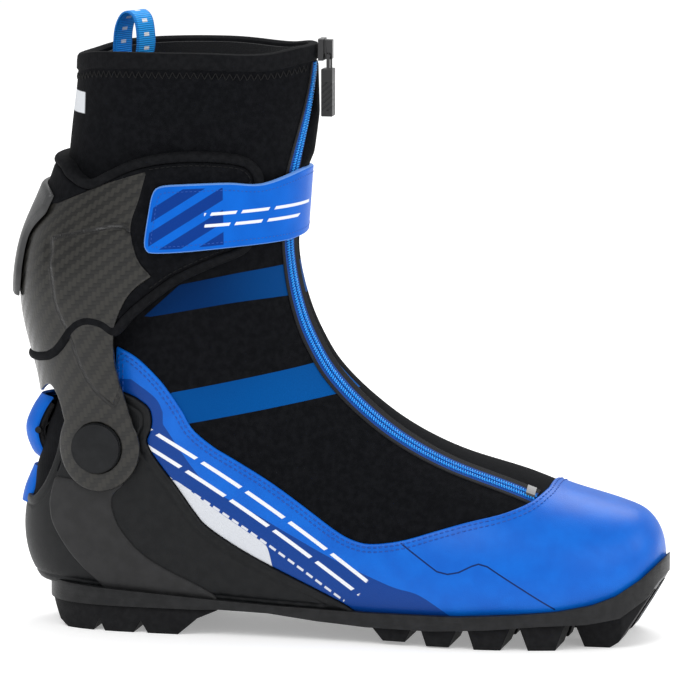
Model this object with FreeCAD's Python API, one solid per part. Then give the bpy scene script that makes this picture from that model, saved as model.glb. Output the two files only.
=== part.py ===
import FreeCAD, Part
import math
import os

# Right cross country skate boot, EU 42, in millimetres.
# +X points to the toe, +Y to the inner side of the foot, +Z up. The treads stand on z = 0.

Vector = FreeCAD.Vector

# Wall thicknesses and layer heights, measured outwards from the neoprene's outer face
neoprene = 3.5
liner_gap = 1.2
liner = 1.2
fit_gap = 0.1
rand_thickness = 1.2
counter_thickness = 2.2
band_thickness = 1.2
piping_height = 0.8
tape_thickness = 0.5
teeth_height = 1.1

# Cuff layers, measured outwards from the carbon's outer face
carbon = 2.6
strap_gap = 0.5
strap_thickness = 2.0
spoiler_thickness = 2.3
pad_clearance = 0.5
arm_clearance = 0.6
edge_roll_width = 4.5

# Pivot of the cuff
pivot_x = -104.0
pivot_z = 86.0
arm_tip_radius = 20.0
bushing_radius = 11.45
arm_bore_radius = 11.5
cap_radius = 11.0
rivet_radius = 4.0

# Link that holds the zip pull in its slider
link_x = -5.6
link_z = 261.8
link_radius = 0.9

# Sole
binding_groove_in = 6.5
binding_groove_out = 15.5
toe_bar_radius = 1.5
toe_bar_x = 129.5
toe_bar_z = 12.5

far = 220.0
section_points = 20

# The upper is lofted in two runs that meet at this section, behind the ankle
heel_section = 16
smallest_half_width = 1.5

# Each section of the foot and leg: ridge x, ridge z, base x, base z, half width,
# place of the widest point from ridge to base, roundness at the ridge, roundness at the base, ridge y, base y
upper_sections = [
    (147.0, 39.0, 147.0, 25.0, 6.0, 0.50, 2.0, 2.0, 4.0, 4.0),
    (145.8, 46.0, 145.8, 21.0, 13.5, 0.50, 2.1, 2.1, 4.0, 4.0),
    (143.0, 51.5, 143.0, 17.0, 20.5, 0.52, 2.2, 2.2, 4.5, 4.0),
    (138.5, 56.2, 138.5, 13.0, 27.0, 0.55, 2.2, 2.4, 5.0, 3.6),
    (130.0, 59.8, 130.0, 10.0, 34.0, 0.58, 2.2, 2.6, 5.5, 3.0),
    (118.0, 63.0, 118.0, 8.0, 40.0, 0.60, 2.2, 2.8, 6.0, 2.2),
    (103.0, 67.2, 103.0, 6.0, 44.5, 0.61, 2.1, 3.0, 6.0, 1.2),
    (87.0, 73.2, 87.0, 5.0, 46.8, 0.62, 2.0, 3.0, 6.0, 0.5),
    (72.0, 77.6, 71.0, 4.0, 47.6, 0.64, 2.0, 3.0, 6.0, 0.0),
    (58.0, 81.6, 54.0, 3.0, 47.2, 0.66, 2.0, 3.0, 6.0, 0.0),
    (43.0, 87.8, 33.0, 3.0, 45.2, 0.67, 1.95, 3.0, 5.5, 0.0),
    (27.5, 96.6, 6.0, 3.0, 43.0, 0.67, 1.9, 2.8, 5.0, 0.0),
    (16.5, 104.8, -22.0, 3.0, 41.2, 0.65, 1.9, 2.8, 4.5, 0.0),
    (7.0, 113.2, -52.0, 3.0, 40.0, 0.61, 1.9, 2.7, 4.0, 0.0),
    (-2.0, 123.2, -85.0, 4.0, 39.4, 0.57, 1.9, 2.6, 3.5, 0.0),
    (-8.0, 132.8, -118.0, 8.0, 39.2, 0.53, 2.0, 2.5, 3.0, 0.0),
    (-12.4, 142.0, -139.0, 22.0, 39.2, 0.50, 2.0, 2.4, 2.5, 0.0),
    (-16.0, 152.0, -145.0, 48.0, 39.2, 0.48, 2.0, 2.3, 2.0, 0.0),
    (-18.6, 161.5, -138.5, 74.0, 39.0, 0.49, 2.0, 2.2, 2.0, 0.0),
    (-20.2, 170.5, -132.0, 101.0, 38.8, 0.52, 2.0, 2.1, 2.0, 0.0),
    (-20.4, 179.5, -130.0, 134.0, 38.8, 0.54, 2.0, 2.1, 2.0, 0.0),
    (-19.4, 190.0, -129.0, 165.0, 39.0, 0.55, 2.1, 2.1, 2.0, 0.0),
    (-18.4, 202.0, -128.0, 193.0, 39.5, 0.55, 2.1, 2.1, 2.0, 0.0),
    (-16.8, 217.0, -125.8, 214.0, 40.0, 0.55, 2.1, 2.1, 1.5, 0.0),
    (-15.0, 233.0, -123.8, 232.0, 40.0, 0.54, 2.1, 2.1, 1.0, 0.0),
    (-13.4, 249.0, -121.8, 248.0, 40.0, 0.53, 2.1, 2.1, 0.5, 0.0),
    (-12.0, 265.0, -120.8, 263.0, 40.0, 0.52, 2.1, 2.1, 0.0, 0.0),
    (-11.6, 284.0, -120.0, 284.0, 40.0, 0.52, 2.1, 2.1, 0.0, 0.0),
]

# Level sections of the cuff's outer face, in the same order of values
cuff_sections = [
    (-14.0, 44.0, -138.0, 44.0, 45.2, 0.66, 2.2, 2.2, 0.0, 0.0),
    (-15.0, 66.0, -139.0, 66.0, 46.0, 0.66, 2.2, 2.2, 0.0, 0.0),
    (-16.0, 88.0, -139.5, 88.0, 46.4, 0.66, 2.2, 2.2, 0.0, 0.0),
    (-17.4, 110.0, -140.5, 110.0, 46.8, 0.65, 2.2, 2.2, 0.0, 0.0),
    (-18.4, 130.0, -145.5, 130.0, 47.2, 0.64, 2.2, 2.2, 0.0, 0.0),
    (-18.8, 150.0, -149.3, 150.0, 47.4, 0.63, 2.2, 2.2, 1.0, 0.0),
    (-19.0, 165.0, -148.6, 165.0, 47.2, 0.62, 2.2, 2.2, 1.5, 0.0),
    (-18.8, 180.0, -145.0, 180.0, 46.8, 0.60, 2.1, 2.2, 2.0, 0.0),
    (-17.8, 195.0, -138.5, 195.0, 46.2, 0.58, 2.1, 2.2, 2.0, 0.0),
    (-16.6, 212.0, -132.0, 212.0, 45.4, 0.56, 2.1, 2.2, 2.0, 0.0),
    (-14.6, 234.0, -127.0, 234.0, 44.4, 0.55, 2.1, 2.2, 1.0, 0.0),
]

# Top face of the sole where the upper sits on it, from the heel to the toe rim: x, z
sole_top_line = [(-145, 22), (-126, 21), (-87, 19), (-54, 17), (-20, 15.5), (20, 14.5), (62, 15), (88, 16.5),
                 (107, 18), (122, 20.5), (132, 24), (142, 30.5), (149, 37), (160, 46)]

# Lower face of the sole plate: x, z
sole_bottom_line = [(160, 40), (148.5, 28), (144.5, 21.5), (134, 14), (120, 12), (100, 11.5), (75, 9.5), (50, 8),
                    (20, 8), (-3, 9.5), (-26, 12), (-49, 12.5), (-60, 12), (-80, 12), (-145, 12)]

# Plan of the sole: x, half width
sole_plan = [(148, 13), (141, 25), (130, 34.5), (116, 41), (98, 46), (76, 49), (54, 48.5), (28, 45), (0, 42), (-30, 40),
             (-62, 38), (-92, 36.5), (-112, 33), (-127, 24), (-134, 10)]

# Forefoot lugs: rear foot x, front foot x, rear root x, front root x, height of the foot
forefoot_lug_spans = [(94.3, 106.2, 90.5, 110.0, 0.0), (70.0, 82.0, 66.5, 86.5, 0.0), (48.0, 58.5, 44.5, 63.0, 0.6),
                      (27.5, 38.0, 20.0, 42.0, 1.8)]

# Heel feet: rear x, front x
heel_foot_spans = [(-119.0, -109.2), (-102.6, -90.0), (-82.0, -68.0)]

# Side outlines: x, z
counter_front_line = [(-97, 112), (-89, 109.5), (-82, 105), (-79.5, 99), (-80.5, 93), (-82, 89), (-79, 83), (-68, 68),
                      (-54, 50), (-39, 41), (-23, 33), (-2, 23), (12, 17), (18, 10)]
counter_rear_line = [(-160, 10), (-160, 59), (-139, 59), (-136, 61), (-131, 68), (-126, 80), (-122, 96), (-112, 106)]
rand_top_line = [(-97, 131), (-87, 126), (-77, 118), (-71, 110.5), (-66, 103), (-61, 94.5), (-52, 87), (-41, 80.5),
                 (-25, 71), (-10, 61), (4, 51.5), (13, 47), (22, 45.5), (36, 47.5), (51, 52), (65, 56), (80, 59.5), (91, 63.5),
                 (97, 68), (99, 90), (170, 90)]
band_line = [(-87, 72), (-97, 64), (-97.5, 56), (-93, 47), (-84, 38), (-73, 31), (-57, 22), (-57, 10), (-95, 10),
             (-106, 22), (-114, 30), (-121, 38), (-127, 49), (-128, 58), (-121, 80)]
carbon_front_line = [(-84.5, 80), (-87, 94), (-91, 110), (-95, 126), (-95, 140), (-91, 152), (-86, 159), (-78, 165),
                     (-84, 172), (-87, 182), (-87, 190), (-83, 201), (-80, 213)]
carbon_rear_line = [(-99, 207), (-114, 201), (-126, 196), (-165, 190), (-165, 107), (-138, 107), (-129, 113), (-124.5, 106),
                    (-121.5, 96), (-122, 82)]
spoiler_line = [(-165, 150), (-145, 151), (-143, 165), (-141, 178), (-133, 188), (-124, 196), (-135, 203), (-165, 203)]
pad_line = [(-95, 137), (-86, 146), (-75, 155), (-65, 162), (-50, 169), (-38, 174), (-33, 179), (-29, 195), (-29, 210),
            (-34, 218), (-44, 220.5), (-60, 221.5), (-76, 220), (-89, 217), (-99, 212.5), (-110, 208), (-119, 212),
            (-128, 216), (-165, 216), (-165, 120), (-128, 124), (-112, 140), (-98, 140)]
strap_line = [(-64, 207), (-74, 206), (-78, 201), (-80.5, 189), (-82, 178.5), (-80, 175.5), (-64, 176), (-40, 178),
              (-10, 180), (10, 180), (10, 213), (-16, 212), (-31, 206.5)]
strap_medial_line = [(-32, 183), (10, 180), (10, 213), (-32, 206)]

# Pull loop at the back of the collar: distance inwards from the lining, z
pull_loop_path = [(2.4, 244), (0.8, 246), (0.8, 262), (1.8, 271), (5, 277), (9.5, 279), (13.5, 276.5), (15.3, 270),
                  (15.2, 262), (11, 253), (4.4, 245.5)]
pull_loop_root = (-106.0, 15.6)
pull_loop_angle = 30.0
pull_loop_width = 12.0

# The line between the lower softshell and the ankle gusset, and the one between gusset and sleeve
lower_edge_line = [(-160, 97), (-128, 100), (-104, 128), (-93, 130), (-74, 117), (-60, 114), (-4, 149), (180, 264)]
sleeve_edge_line = [(-160, 116), (-128, 120), (-104, 146), (-86, 140), (-66, 137), (-20, 172.5), (20, 200)]
collar_line = [(-140, 258.5), (-121, 260.5), (-104, 264), (-60, 265), (-30, 264), (-12, 266.5), (20, 268)]


def power_point(angle, power):
    c = math.cos(angle)
    s = math.sin(angle)
    exponent = 2.0 / power
    return (math.copysign(abs(c) ** exponent, c), math.copysign(abs(s) ** exponent, s))


def section_wire(section, grow):
    # One closed section of a shell, moved outwards by grow
    rx, rz, bx, bz, half, widest, ridge_power, base_power, ridge_y, base_y = section
    length = math.hypot(bx - rx, bz - rz)
    ux = (bx - rx) / length
    uz = (bz - rz) / length
    toe_share = max(0.0, min(1.0, (rx - 110.0) / 35.0))
    forward = grow * toe_share ** 2
    before = widest * length + grow
    after = (1.0 - widest) * length + grow
    points = []
    for i in range(section_points):
        angle = 2.0 * math.pi * (i + 0.5) / section_points
        power = base_power if math.cos(angle) > 0 else ridge_power
        along, across = power_point(angle, power)
        reach = after if along > 0 else before
        s = widest * length + along * reach
        share = s / length
        y = across * (half + grow) + ridge_y + (base_y - ridge_y) * share
        points.append(Vector(rx + ux * s + forward, y, rz + uz * s))
    curve = Part.BSplineCurve()
    steps = [float(i) for i in range(section_points + 1)]
    curve.interpolate(Points=points, PeriodicFlag=True, Parameters=steps)
    return Part.Wire([curve.toShape()])


loft_cache = {}


def grown_loft(name, sections, grow):
    key = (name, round(grow, 3))
    if key not in loft_cache:
        usable = [s for s in sections if s[4] + grow > smallest_half_width]
        turn = heel_section - (len(sections) - len(usable))
        wires = [section_wire(s, grow) for s in usable]
        parts = [wires[:turn + 1], wires[turn:]]
        lofts = [Part.makeLoft(w, True, False) for w in parts if len(w) > 1]
        loft_cache[key] = lofts[0] if len(lofts) == 1 else lofts[0].fuse(lofts[1])
    return loft_cache[key]


def upper(grow):
    return grown_loft("upper", upper_sections, grow)


def cuff(grow):
    return grown_loft("cuff", cuff_sections, grow)


def side_solid(points, y0=-far, y1=far):
    # A side outline pushed across the boot
    corners = [Vector(x, y0, z) for x, z in points]
    face = Part.Face(Part.makePolygon(corners + corners[:1]))
    return face.extrude(Vector(0, y1 - y0, 0))


def inset_side_solid(points, inset, y0=-far, y1=far):
    corners = [Vector(x, y0, z) for x, z in points]
    face = Part.Face(Part.makePolygon(corners + corners[:1]))
    return face.makeOffset2D(-inset).extrude(Vector(0, y1 - y0, 0))


def cylinder_y(radius, y0, y1, x=pivot_x, z=pivot_z):
    low = min(y0, y1)
    return Part.makeCylinder(radius, abs(y1 - y0), Vector(x, low, z), Vector(0, 1, 0))


def box(x0, x1, y0, y1, z0, z1):
    return Part.makeBox(x1 - x0, y1 - y0, z1 - z0, Vector(x0, y0, z0))


def below(points, depth=-120.0):
    return side_solid(points + [(points[-1][0], depth), (points[0][0], depth)])


def above(points, height=420.0):
    return side_solid(points + [(points[-1][0], height), (points[0][0], height)])


def plan_solid(points, grow, z0, z1):
    # The sole's plan as one smooth closed curve, moved outwards by grow
    lateral = [Vector(x, -(half + grow), z0) for x, half in points]
    medial = [Vector(x, half + grow + medial_fullness(x), z0) for x, half in reversed(points)]
    curve = Part.BSplineCurve()
    curve.interpolate(Points=lateral + medial, PeriodicFlag=True)
    return Part.Face(Part.Wire([curve.toShape()])).extrude(Vector(0, 0, z1 - z0))


def medial_fullness(x):
    # The inner side is a little fuller at the toe
    return 5.0 * max(0.0, min(1.0, (x - 70.0) / 70.0))


def shell(outer, inner):
    return outer.cut(inner)


def save(name, shape):
    solids = [s for s in shape.Solids if s.Volume > 1.0]
    result = solids[0] if len(solids) == 1 else Part.makeCompound(solids)
    result.exportStep("parts/%s.step" % name)
    print(name, len(solids), "solids", round(result.Volume / 1000.0, 2), "cm3", result.isValid())


def over_sole():
    return above(sole_top_line)


def pivot_disc(radius):
    return cylinder_y(radius, -far, far)


def counter_zone():
    return side_solid(counter_front_line + counter_rear_line)


def make_sole():
    plan = plan_solid(sole_plan, 0.0, -5, 60)
    plate = below(sole_top_line, -20).common(above(sole_bottom_line[::-1], 80)).common(plan)
    grooves = box(-60, 138, binding_groove_in, binding_groove_out, -10, 9.5)
    grooves = grooves.fuse(box(-60, 138, -binding_groove_out, -binding_groove_in, -10, 9.5))
    save("outsole", plate.cut(grooves))

    heel_plan = plan_solid(sole_plan, -1.5, -5, 40)
    heel_line = [(-131, 11.9), (-126.5, 3), (-122, 0), (-68.5, 0), (-60, 7.5), (-50, 11.9)]
    heel = side_solid(heel_line).common(heel_plan)
    for (rear, front), (next_rear, next_front) in zip(heel_foot_spans, heel_foot_spans[1:]):
        notch = [(front, -1), ((front + next_rear) / 2, 5.5), (next_rear, -1)]
        heel = heel.cut(side_solid(notch))
    heel = heel.cut(box(-140, -40, -5, 5, -1, 4))
    save("heel_tread", heel)

    lug_plan = plan_solid(sole_plan, -3.0, -5, 60)
    under_plate = below(sole_bottom_line[::-1], -20).common(lug_plan)
    lugs = []
    for rear, front, root_rear, root_front, foot in forefoot_lug_spans:
        outline = [(root_rear, 20), (root_rear, 10.5), (rear, foot), (front, foot), (root_front, 10.5), (root_front, 20)]
        block = side_solid(outline).common(under_plate)
        for side in (-1, 1):
            rail = box(-60, 140, min(side * 16.5, side * 60), max(side * 16.5, side * 60), -5, 30)
            lugs.append(block.common(rail))
        lugs.append(block.common(box(-60, 140, -5.5, 5.5, -5, 30)))
    save("forefoot_lugs", Part.makeCompound(lugs))

    toe_outline = [(112.5, 24), (112.8, 11), (117.5, 0), (129, 0), (133, 2.5), (146.5, 24)]
    toe_block = side_solid(toe_outline).common(under_plate)
    toe_lugs = []
    for side in (-1, 1):
        lug = toe_block.common(box(100, 160, min(side * 8.5, side * 28.5), max(side * 8.5, side * 28.5), -5, 40))
        toe_lugs.append(lug.cut(cylinder_y(toe_bar_radius + 0.02, -16.5, 16.5, toe_bar_x, toe_bar_z)))
    save("toe_lugs", Part.makeCompound(toe_lugs))
    save("toe_bar", cylinder_y(toe_bar_radius, -16, 16, toe_bar_x, toe_bar_z).cut(plate))


def make_lower():
    top = below(lower_edge_line)
    over = over_sole()
    save("softshell_lower", shell(upper(0), upper(-neoprene)).common(top).common(over))
    inner = -(neoprene + liner_gap)
    save("liner_lower", shell(upper(inner), upper(inner - liner)).common(top).common(over))
    puff = shell(upper(-neoprene - 0.1), upper(inner + 0.1)).common(over)
    save("toe_puff", puff.common(box(98, 160, -far, far, 0, 100)))

    footbed_line = [(x, z + 4.5) for x, z in sole_top_line[:-2]]
    bed = upper(inner - liner - 0.3).common(below(footbed_line))
    board_line = [(x, z + 1.8) for x, z in sole_top_line[:-2]]
    save("footbed", bed.common(above([(x, z + 0.05) for x, z in board_line])))
    save("lasting_board", upper(-neoprene - liner_gap - liner - 0.3).common(below(board_line)).common(over))

    rand_zone = below(rand_top_line).cut(counter_zone())
    rand = shell(upper(rand_thickness + fit_gap), upper(fit_gap)).common(rand_zone).common(over)
    rand = rand.common(box(-96, 170, -far, far, 0, 200))
    save("rand", rand)

    counter = shell(upper(counter_thickness + fit_gap), upper(fit_gap)).common(counter_zone()).common(over)
    bore = pivot_disc(rivet_radius + 0.02)
    save("heel_counter", counter.cut(bore))

    swing_room = shell(cuff(0), cuff(-carbon - arm_clearance)).common(pivot_disc(70.0))
    band_in = counter_thickness + 0.2
    bands = shell(upper(band_in + band_thickness), upper(band_in))
    band_zone = side_solid(band_line).fuse(pivot_disc(17.0))
    bands = bands.common(band_zone).common(over).cut(bore).cut(swing_room)
    save("chassis_band_lateral", bands.common(box(-far, far, -far, 0, 0, 200)))
    save("chassis_band_medial", bands.common(box(-far, far, 0, far, 0, 200)))

    front = counter_front_line[5:-1]
    strip = side_solid(front + [(x - 5.5, z - 2.5) for x, z in reversed(front)])
    piping = shell(upper(band_in + piping_height), upper(band_in)).common(strip).common(over)
    save("counter_piping", piping.cut(side_solid(band_line)).cut(pivot_disc(17.4)).cut(swing_room))


def zip_wall(points, half_width, depth, height):
    # A ribbon standing on the shell along the zip, from depth under it to height over it
    wires = []
    side = Vector(0, half_width, 0)
    for i, (x, y, z) in enumerate(points):
        x0, y0, z0 = points[max(i - 1, 0)]
        x1, y1, z1 = points[min(i + 1, len(points) - 1)]
        run = math.hypot(x1 - x0, z1 - z0)
        nx = (z0 - z1) / run
        nz = (x1 - x0) / run
        low = Vector(x - nx * depth, y, z - nz * depth)
        high = Vector(x + nx * height, y, z + nz * height)
        corners = [low - side, low + side, high + side, high - side]
        wires.append(Part.makePolygon(corners + corners[:1]))
    return Part.makeLoft(wires, True, True)


zip_lower_points = [(-22, -8, 172), (-18, -9, 152), (-9, -10, 133), (6, -11, 113), (24, -12, 97), (46, -14, 84),
                    (70, -16, 73), (95, -17.5, 62)]
zip_upper_points = [(-13, 0, 268), (-13, -1, 250), (-17, -6, 230), (-19, -11, 210), (-21, -11, 195), (-22, -8, 172)]


def make_zip():
    low_zone = below(lower_edge_line).common(above(rand_top_line[6:]))
    for name, half_width, low, high in (("zip_tape", 7.0, fit_gap, tape_thickness),
                                        ("zip_teeth", 2.2, tape_thickness + 0.05, teeth_height)):
        layer = shell(upper(high), upper(low))
        wall = zip_wall(zip_lower_points[::-1], half_width, 14.0, 10.0)
        save(name + "_lower", layer.common(wall).common(low_zone))
        wall = zip_wall(zip_upper_points[::-1], half_width, 10.0, 8.0)
        high_zone = above(sleeve_edge_line).common(below([(x, z - 8.5) for x, z in collar_line]))
        save(name + "_upper", layer.common(wall).common(high_zone))
    stop = shell(upper(2.2), upper(teeth_height + 0.1)).common(box(89.0, 93.0, -20.0, -14.4, 60.0, 80.0))
    save("zip_bottom_stop", stop)


def make_tongue():
    inner = -(neoprene + liner_gap + liner + 0.4)
    zone = side_solid([(62, 82), (60, 60), (38, 60), (6, 78), (-14, 100), (-34, 124), (-34, 131), (-4, 146), (10, 120), (40, 96)])
    layer = shell(upper(inner), upper(inner - 4.5)).common(zone).common(box(-80, 80, -11.5, 19.5, 0, 200))
    save("tongue", layer)
    guides = []
    for side in (-1, 1):
        for i in range(5):
            x = 8.0 + i * 11.0
            z = 106.0 - i * 8.2 - (2.2 if i > 1 else 0.0)
            y = side * 19.0 + 4.0
            ring = Part.makeTorus(2.6, 0.9, Vector(x - 6.0, y, z - 16.6), Vector(0, 1, 0))
            guides.append(ring)
    room = upper(-(neoprene + liner_gap + liner + 0.1))
    save("lace_guides", Part.makeCompound([ring.common(room) for ring in guides]))


def make_cuff():
    carbon_line = carbon_front_line + carbon_rear_line
    arm_disc = pivot_disc(arm_tip_radius)
    carbon_zone = side_solid(carbon_line).fuse(arm_disc)
    bore = pivot_disc(arm_bore_radius)
    save("carbon_cuff", shell(cuff(0), cuff(-carbon)).common(carbon_zone).cut(bore))

    inside = upper(pad_clearance)
    pad_zone = inset_side_solid(pad_line, edge_roll_width)
    rim_zone = side_solid(pad_line).cut(pad_zone)
    pad = shell(cuff(-carbon - 0.1), inside).common(pad_zone)
    save("cuff_pad", pad)
    wings = shell(cuff(-0.3), cuff(-carbon - 0.05)).common(pad_zone).cut(carbon_zone).cut(upper(0.3))
    save("cuff_wing_lateral", wings.common(box(-far, far, -far, 0, 0, 400)))
    save("cuff_wing_medial", wings.common(box(-far, far, 0, far, 0, 400)))
    rim = shell(cuff(0.2), inside).common(rim_zone)
    save("cuff_edge_binding", rim.cut(shell(cuff(0.1), cuff(-carbon - 0.05)).common(carbon_zone)))

    spoiler = shell(cuff(spoiler_thickness + 0.1), cuff(0.1)).common(side_solid(spoiler_line))
    save("rear_spoiler", spoiler.common(box(-far, -100, -30, 30, 0, 400)))


def make_sleeve():
    zone = above(sleeve_edge_line).common(below(collar_line))
    save("ankle_sleeve", shell(upper(0), upper(-neoprene)).common(zone))
    inner = -(neoprene + liner_gap)
    low = above([(x, z + 1.0) for x, z in sleeve_edge_line])
    liner_zone = low.common(below([(x, z - 1.5) for x, z in collar_line]))
    save("collar_liner", shell(upper(inner), upper(inner - liner)).common(liner_zone))
    band = below([(x, z + 0.9) for x, z in collar_line]).common(above([(x, z - 7.0) for x, z in collar_line]))
    rim = shell(upper(0.9), upper(-neoprene - 1.0)).common(band)
    core = shell(upper(0.05), upper(-neoprene - 0.05)).common(below([(x, z + 0.05) for x, z in collar_line]))
    save("collar_binding", rim.cut(core))
    gusset_zone = below([(x, z - 0.3) for x, z in sleeve_edge_line]).common(above([(x, z + 0.3) for x, z in lower_edge_line]))
    save("ankle_gusset", shell(upper(-0.4), upper(-neoprene + 0.4)).common(gusset_zone))


def webbing_loop(points, thickness, y0, y1):
    # A flat strip bent to an open side path, with the given thickness and width
    outer = []
    inner = []
    for i, (x, z) in enumerate(points):
        ax, az = points[max(i - 1, 0)]
        bx, bz = points[min(i + 1, len(points) - 1)]
        run = math.hypot(bx - ax, bz - az)
        nx = -(bz - az) / run * thickness / 2
        nz = (bx - ax) / run * thickness / 2
        outer.append((x + nx, z + nz))
        inner.append((x - nx, z - nz))
    return side_solid(outer + inner[::-1], y0, y1)


def make_straps():
    layer = shell(cuff(strap_gap + strap_thickness), cuff(strap_gap))
    strap = layer.common(side_solid(strap_line))
    lateral = strap.common(box(-far, far, -far, 0, 0, 400))
    medial = layer.common(side_solid(strap_medial_line)).common(box(-far, far, 0, far, 0, 400))
    save("cuff_strap", lateral.fuse(medial))

    anchor_zone = side_solid([(-56, 185), (-36.2, 184), (-36.2, 205), (-56, 203)])
    anchor = shell(cuff(1.7), cuff(0.3)).common(anchor_zone).common(box(-far, far, 0, far, 0, 400))
    save("strap_anchor", anchor)
    landing = shell(cuff(0.35), cuff(-0.25)).common(side_solid([(-78, 178), (-58, 179), (-58, 204), (-75, 203)]))
    save("strap_landing_patch", landing.common(box(-far, far, -far, 0, 0, 400)))

    loop = webbing_loop(pull_loop_path, 1.4, -pull_loop_width / 2, pull_loop_width / 2)
    loop.rotate(Vector(0, 0, 0), Vector(0, 0, 1), -pull_loop_angle)
    loop.translate(Vector(pull_loop_root[0], pull_loop_root[1], 0))
    save("pull_loop", loop)


def make_rear_strap():
    flap_path = [(-139.5, 103.5), (-143.5, 97.5), (-146.6, 90.0), (-146.4, 84.0), (-144.0, 78.0), (-141.5, 75.5)]
    save("rear_strap_tab", webbing_loop(flap_path, 2.0, -13.0, 13.0))
    inner_path = [(-136.5, 100.0), (-139.5, 94.0), (-141.2, 88.0), (-140.5, 83.0), (-138.8, 80.5)]
    save("rear_strap_loop", webbing_loop(inner_path, 1.4, -12.0, 12.0))
    save("rear_strap_bar", cylinder_y(1.5, -15.0, 15.0, -138.6, 88.5))
    anchor_path = [(-149.0, 54.0), (-147.6, 60.0), (-145.2, 66.0), (-143.2, 70.5)]
    save("rear_strap_anchor", webbing_loop(anchor_path, 1.6, -12.0, 12.0))


def make_pivots():
    for name, side in (("lateral", -1), ("medial", 1)):
        bushing = cylinder_y(bushing_radius, side * 42.2, side * 46.2)
        save("pivot_bushing_" + name, bushing.cut(pivot_disc(rivet_radius + 0.02)).cut(upper(3.7)))
        cap = cylinder_y(cap_radius, side * 46.25, side * 47.6)
        dome_centre = Vector(pivot_x, side * (47.6 - 61.0), pivot_z)
        dome = Part.makeSphere(61.0 + 0.9, dome_centre).common(cylinder_y(cap_radius - 0.6, side * 47.6, side * 50))
        save("pivot_cap_" + name, cap.fuse(dome))
        rivet = cylinder_y(rivet_radius, side * 30.0, side * 46.2)
        save("pivot_rivet_" + name, rivet.cut(upper(fit_gap)))


def make_slider():
    body = box(-10.1, -7.6, -4.2, 4.2, 259.7, 269.7)
    bridge = box(-7.6, -3.9, -1.5, 1.5, 260.2, 269.2)
    bridge = bridge.cut(cylinder_y(link_radius + 0.1, -5, 5, link_x, link_z))
    save("zip_slider", body.fuse(bridge))

    link = cylinder_y(link_radius, -3.0, 3.0, link_x, link_z)
    link = link.fuse(box(link_x - 0.8, link_x + 0.8, -3.0, -1.7, 254.6, link_z + 0.8))
    link = link.fuse(box(link_x - 0.8, link_x + 0.8, 1.7, 3.0, 254.6, link_z + 0.8))
    link = link.fuse(box(link_x - 0.8, link_x + 0.8, -3.0, 3.0, 254.0, 255.4))
    save("zip_pull_link", link)
    save("zip_pull_grip", box(-8.8, -3.6, -3.4, 3.4, 234.3, 256.0).cut(link))


os.makedirs("parts", exist_ok=True)
make_sole()
make_lower()
make_zip()
make_tongue()
make_cuff()
make_sleeve()
make_straps()
make_rear_strap()
make_pivots()
make_slider()
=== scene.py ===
import bpy
import math
import numpy as np
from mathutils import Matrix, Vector


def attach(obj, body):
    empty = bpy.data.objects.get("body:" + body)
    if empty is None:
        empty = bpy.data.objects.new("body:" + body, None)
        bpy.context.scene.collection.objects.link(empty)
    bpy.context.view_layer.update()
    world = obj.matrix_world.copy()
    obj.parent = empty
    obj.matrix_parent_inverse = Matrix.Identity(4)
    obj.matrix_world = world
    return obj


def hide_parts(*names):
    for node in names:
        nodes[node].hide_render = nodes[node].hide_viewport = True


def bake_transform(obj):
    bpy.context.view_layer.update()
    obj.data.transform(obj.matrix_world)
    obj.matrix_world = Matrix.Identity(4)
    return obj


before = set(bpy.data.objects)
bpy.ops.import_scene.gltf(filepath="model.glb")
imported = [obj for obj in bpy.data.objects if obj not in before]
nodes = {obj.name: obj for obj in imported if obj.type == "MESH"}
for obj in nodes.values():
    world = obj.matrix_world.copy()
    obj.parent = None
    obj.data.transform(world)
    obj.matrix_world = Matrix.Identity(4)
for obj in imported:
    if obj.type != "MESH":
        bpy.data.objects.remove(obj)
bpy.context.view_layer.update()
print("frame loaded")

mm = 0.001

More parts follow.
